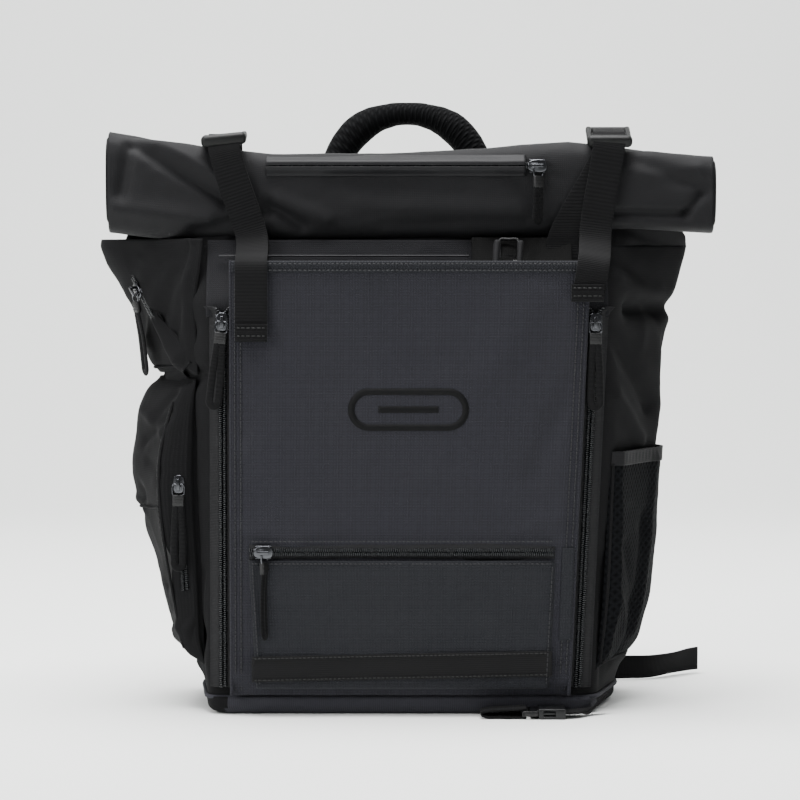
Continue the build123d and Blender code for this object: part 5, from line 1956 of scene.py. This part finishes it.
def puff(obj: bpy.types.Object, cap: float, voxel: float = 0.005, pressure: float = 4.0) -> None:
    """Fills a padded piece: its skin is blown out as cloth, and held to a small distance.

    Args:
        obj: the piece.
        cap: the furthest that any point may move.
        voxel: mesh size.
        pressure: how hard the foam pushes.
    """
    modifier(obj, "REMESH", mode="VOXEL", voxel_size=voxel)
    bake(obj)
    start = [vert.co.copy() for vert in obj.data.vertices]
    made = obj.modifiers.new("Cloth", "CLOTH")
    made.settings.quality = 5
    made.settings.mass = 0.3
    made.settings.tension_stiffness = 15.0
    made.settings.bending_stiffness = 0.5
    made.settings.use_pressure = True
    made.settings.uniform_pressure_force = pressure
    made.settings.effector_weights.gravity = 0.0
    made.point_cache.frame_end = 20
    for frame in range(1, 21):
        bpy.context.scene.frame_set(frame)
    bake(obj)
    bpy.context.scene.frame_set(1)
    for vert, rest in zip(obj.data.vertices, start):
        move = vert.co - rest
        if move.length > cap:
            vert.co = rest + move.normalized() * cap
    modifier(obj, "SUBSURF", levels=1, render_levels=1)
    bake(obj)
    for face in obj.data.polygons:
        face.use_smooth = True


def lay_uv(obj: bpy.types.Object, flat: Callable[[Vector], tuple[float, float]]) -> None:
    """Gives a piece a UV map in metres.

    Args:
        obj: the piece.
        flat: where each point lies on the flat cloth.
    """
    data = obj.data
    layer = data.uv_layers.new(name="UVMap") if not data.uv_layers else data.uv_layers[0]
    for loop in data.loops:
        layer.data[loop.index].uv = flat(data.vertices[loop.vertex_index].co)


def cushion(name: str, low: Vector, high: Vector, bevel: float, cap: float) -> bpy.types.Object:
    """A flat rounded pad, stuffed.

    Args:
        name: the piece's name.
        low: its lowest corner.
        high: its highest corner.
        bevel: how round its edges are.
        cap: how far stuffing may push it out.

    Returns:
        The piece.
    """
    mesh = bmesh.new()
    size = high - low
    block(mesh, (low + high) / 2, UPRIGHT, size, bevel, 4)
    bmesh.ops.recalc_face_normals(mesh, faces=mesh.faces)
    obj = to_object(name, mesh)
    puff(obj, cap, 0.0045)
    lay_uv(obj, lambda at: (at.x, at.z))
    return obj


@dataclass
class GrabHandle:
    """The padded handle arching over the back of the roll, and its anchor."""

    half: float = 57.0
    rise: float = 75.0
    foot: float = 404.0
    y: float = 94.0
    radius: float = 10.0

    def build(self) -> None:
        """Builds the handle, its seam and its anchor."""
        turns = [math.pi * i / 24 for i in range(25)]
        arch = []
        for turn in turns:
            a, b = math.cos(turn), math.sin(turn)
            power = (abs(a) ** 2.25 + abs(b) ** 2.25) ** (-1 / 2.25)
            arch.append(mm(self.half * a * power * 1.13 - 2.8, self.y, self.foot + self.rise * b * power))
        obj = tube("grab handle", arch, self.radius / 1000, Vector((0, 1, 0)), flat=0.8, rows=72, sides=20,
                   widths=((0, 1.1), (0.16, 1.3), (0.3, 1.38), (0.42, 1.08), (0.5, 1.0), (0.58, 1.08),
                           (0.7, 1.38),
                           (0.84, 1.3), (1, 1.1)))
        puff(obj, 0.0012, 0.004, 2.0)

        def flat(at: Vector) -> tuple[float, float]:
            """Where a point lies along and round the handle."""
            turn = math.atan2((at.z - self.foot / 1000) / self.rise, at.x / self.half)
            middle = mm(self.half * math.cos(turn), self.y, self.foot + self.rise * math.sin(turn))
            along, around = turn * 0.066, math.atan2((at - middle).y, (at - middle).length) * 0.011
            return (along + around, along - around)

        lay_uv(obj, flat)
        dress(obj, AIR_MESH, "grab_handle", "grab_handle")

        def plate(u: float, v: float) -> Vector:
            """A point of the anchor webbing."""
            return mm(-75 + 150 * u, BACK_Y + 3.6 + 0.5 * math.sin(u * 9), 392 + 22 * v)

        anchor = surface("handle anchor", 60, 8, plate, (0.15, 0.022), Vector((0, 0, 0.4)), thick=0.002)
        dress(anchor, STRAP_WEBBING, "bag", "handle_anchor")
        LOG.info("grab handle built")


@dataclass
class ShoulderHarness:
    """Two padded straps behind the bag, with their locks and webbing."""

    x: float = 62.0
    y: float = 104.0

    def strap(self, hand: int, name: str) -> None:
        """One padded strap, sewn on at its top."""
        mesh = bmesh.new()
        block(mesh, mm(hand * self.x, self.y, 255.5), UPRIGHT, (0.055, 0.0104, 0.211), 0.0046, 4)
        block(mesh, mm(hand * self.x, 91.5, 356), UPRIGHT, (0.055, 0.024, 0.0106), 0.0046, 4)
        bmesh.ops.recalc_face_normals(mesh, faces=mesh.faces)
        obj = to_object(name, mesh)
        puff(obj, 0.0012, 0.0042, 2.0)
        lay_uv(obj, lambda at: (at.x, at.z + at.y))
        dress(obj, AIR_MESH, "bag", name)

    def lock(self, hand: int) -> bpy.types.Object:
        """One lock at a strap's foot."""
        mesh = bmesh.new()
        for side in (-13.5, 13.5):
            block(mesh, mm(hand * self.x + side, self.y, 138), UPRIGHT, (0.003, 0.004, 0.0238), 0.001, 3)
        for z in (148.2, 138.5, 128.0):
            block(mesh, mm(hand * self.x, self.y, z), UPRIGHT, (0.0296, 0.004, 0.0036), 0.001, 3)
        bmesh.ops.recalc_face_normals(mesh, faces=mesh.faces)
        return to_object("shoulder lock", mesh)

    def build(self) -> None:
        """Builds both straps, locks and webbings."""
        for hand, name in ((-1, "shoulder_strap_left"), (1, "shoulder_strap_right")):
            self.strap(hand, name)
            made = dress(self.lock(hand), ACETAL, "bag")
            if hand > 0:
                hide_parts("shoulder_ladder_locks")
        flat = ACROSS
        for hand in (-1, 1):
            low = [mm(hand * self.x, self.y, z) for z in (129, 118, 100)]
            low += [mm(hand * self.x, 102, 84), mm(hand * self.x, 90, 56), mm(hand * self.x, 82, 38),
                    mm(hand * self.x, 81.4, 24)]
            obj = webbing("lower webbing", low, [flat] * len(low), 0.02, 0.0015, 70)
            side = "left" if hand < 0 else "right"
            dress(obj, STRAP_WEBBING, "bag", f"shoulder_webbing_{side}")
        tail = [mm(-self.x, 107, 139), mm(-self.x, 107.4, 110), mm(-self.x - 1, 108, 75),
                mm(-self.x, 107, 40)]
        dress(webbing("left tail", tail, [flat] * 4, 0.02, 0.0015, 60), STRAP_WEBBING, "bag")
        lean = Vector((0.83, 0, 0.55))
        route = [mm(62, 107, 139), mm(76, 107.6, 117), mm(104, 107.8, 75), mm(132, 107.8, 34),
                 mm(147, 107.8, 16), mm(164, 107.8, 10.8),
                 mm(186, 107.8, 10.5), mm(205, 111, 10.6), mm(224, 126, 11.4), mm(240, 141, 12.4),
                 mm(249, 148, 12.6)]
        across = [Vector((1, 0, 0.2)), lean, lean, lean, Vector((0.55, 0, 0.83)), Vector((0.05, 0, 1)),
                  Vector((0, 0, 1)),
                  Vector((0.03, -0.12, 1)), Vector((0.12, -0.3, 1)), Vector((0.04, -0.1, 1)),
                  Vector((0, 0, 1))]
        dress(webbing("right tail", route, across, 0.0196, 0.0015, 150), STRAP_WEBBING, "bag")
        LOG.info("harness built")


@dataclass
class BackPads:
    """Two padded columns down the back panel."""

    def build(self) -> None:
        """Builds both pads."""
        for hand in (-1, 1):
            middle = hand * 39
            pad = cushion(f"back pad {hand}", mm(middle - 30.5, 82.6, 67), mm(middle + 30.5, 89.6, 331),
                          0.003, 0.0009)
            dress(pad, AIR_MESH, "bag")
            if hand > 0:
                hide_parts("back_pad")
        sleeve = cushion("laptop sleeve", mm(-127, 47.8, 6.6), mm(127, 52.2, 267), 0.002, 0.0005)
        dress(sleeve, LINING, "bag", "laptop_sleeve")
        LOG.info("back pads built")


# ---- Studio -----------------------------------------------------------------


@dataclass
class Studio:
    """A pale floor that curves up behind, soft lights, and the camera.

    Attributes:
        distance: how far in front of the bag the camera stands.
        height: how high it stands.
        lens: its focal length.
    """

    distance: float = 2.282
    height: float = 0.35
    lens: float = 126.9

    def floor(self) -> None:
        """The sweep of pale paper."""

        def place(u: float, v: float) -> Vector:
            """A point of the sweep."""
            run = v * 16.8
            bend = max(0.0, run - 12.0)
            turn = min(math.pi / 2, bend / 1.2)
            y = -10.2 + min(run, 12.0) + 1.2 * math.sin(turn)
            z = 1.2 * (1 - math.cos(turn)) + max(0.0, bend - 1.2 * math.pi / 2)
            return Vector(((u - 0.5) * 18, y, z))

        obj = surface("paper sweep", 4, 220, place, (18.0, 16.8), Vector((0, -50, 50)), thick=0.0)
        made, tree, shader, where = new_material("matt paper")
        grain = add_node(tree, "ShaderNodeTexNoise", {"Vector": where.outputs["Object"], "Scale": 3.0})
        colour = add_node(tree, "ShaderNodeMix",
                          {0: grain.outputs["Fac"], 6: srgb("f0f2f0"), 7: srgb("f4f5f3")}, data_type="RGBA")
        tree.links.new(colour.outputs[2], shader.inputs["Base Color"])
        shader.inputs["Roughness"].default_value = 0.9
        obj.data.materials.append(made)

    def light(self, name: str, at: Vector, towards: Vector, size: float, power: float) -> None:
        """One soft box."""
        data = bpy.data.lights.new(name, "AREA")
        data.shape = "RECTANGLE"
        data.size = size
        data.size_y = size * 0.8
        data.energy = power
        obj = bpy.data.objects.new(name, data)
        bpy.context.collection.objects.link(obj)
        obj.location = at
        obj.rotation_euler = (towards - at).to_track_quat("-Z", "Y").to_euler()

    def build(self) -> None:
        """Builds the floor, lights, world and camera."""
        self.floor()
        middle = Vector((0, 0, 0.25))
        self.light("overhead", Vector((-0.2, -0.2, 2.4)), middle, 1.9, 158)
        self.light("left box", Vector((-2.2, -1.7, 1.5)), middle, 1.3, 74)
        self.light("right box", Vector((2.1, -1.9, 1.3)), middle, 1.3, 4)
        self.light("rear fill", Vector((1.3, 1.5, 1.5)), middle, 0.9, 9)
        self.light("backdrop", Vector((0, 0.6, 2.6)), Vector((0, 2.6, 0.7)), 2.5, 74)
        world = bpy.data.worlds.new("studio")
        world.use_nodes = True
        world.node_tree.nodes["Background"].inputs["Color"].default_value = srgb("eef0f2")
        world.node_tree.nodes["Background"].inputs["Strength"].default_value = 0.26
        bpy.context.scene.world = world
        camera = bpy.data.objects.new("camera", bpy.data.cameras.new("camera"))
        camera.data.lens = self.lens
        camera.location = Vector((-0.0086, -self.distance, self.height))
        camera.rotation_euler = (math.radians(90 - 2.68), 0, 0)
        bpy.context.collection.objects.link(camera)
        bpy.context.scene.camera = camera
        LOG.info("studio built")


HIDDEN = {"base_board": STIFFENER, "frame_sheet": STIFFENER, "roll_stay": STIFFENER}


def main() -> None:
    """Builds the bag round its frame."""
    logging.basicConfig(level=logging.INFO, format="%(message)s")
    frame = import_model()
    for node, finish in HIDDEN.items():
        frame["nodes"][node].data.materials.clear()
        frame["nodes"][node].data.materials.append(finish.material())
    # The stuffed pieces come first: they are simulated, and only then is any cloth spread between two bodies.
    pieces = (GrabHandle(), ShoulderHarness(), BackPads(), BodyShell(), BaseTray(), RollTop(), FrontPanel(),
              FrontZips(), SidePockets(), CornerBuckle(), MouthHook(), Collar(), ClosureStraps(), Studio())
    for piece in pieces:
        piece.build()


if __name__ == "__main__":
    main()
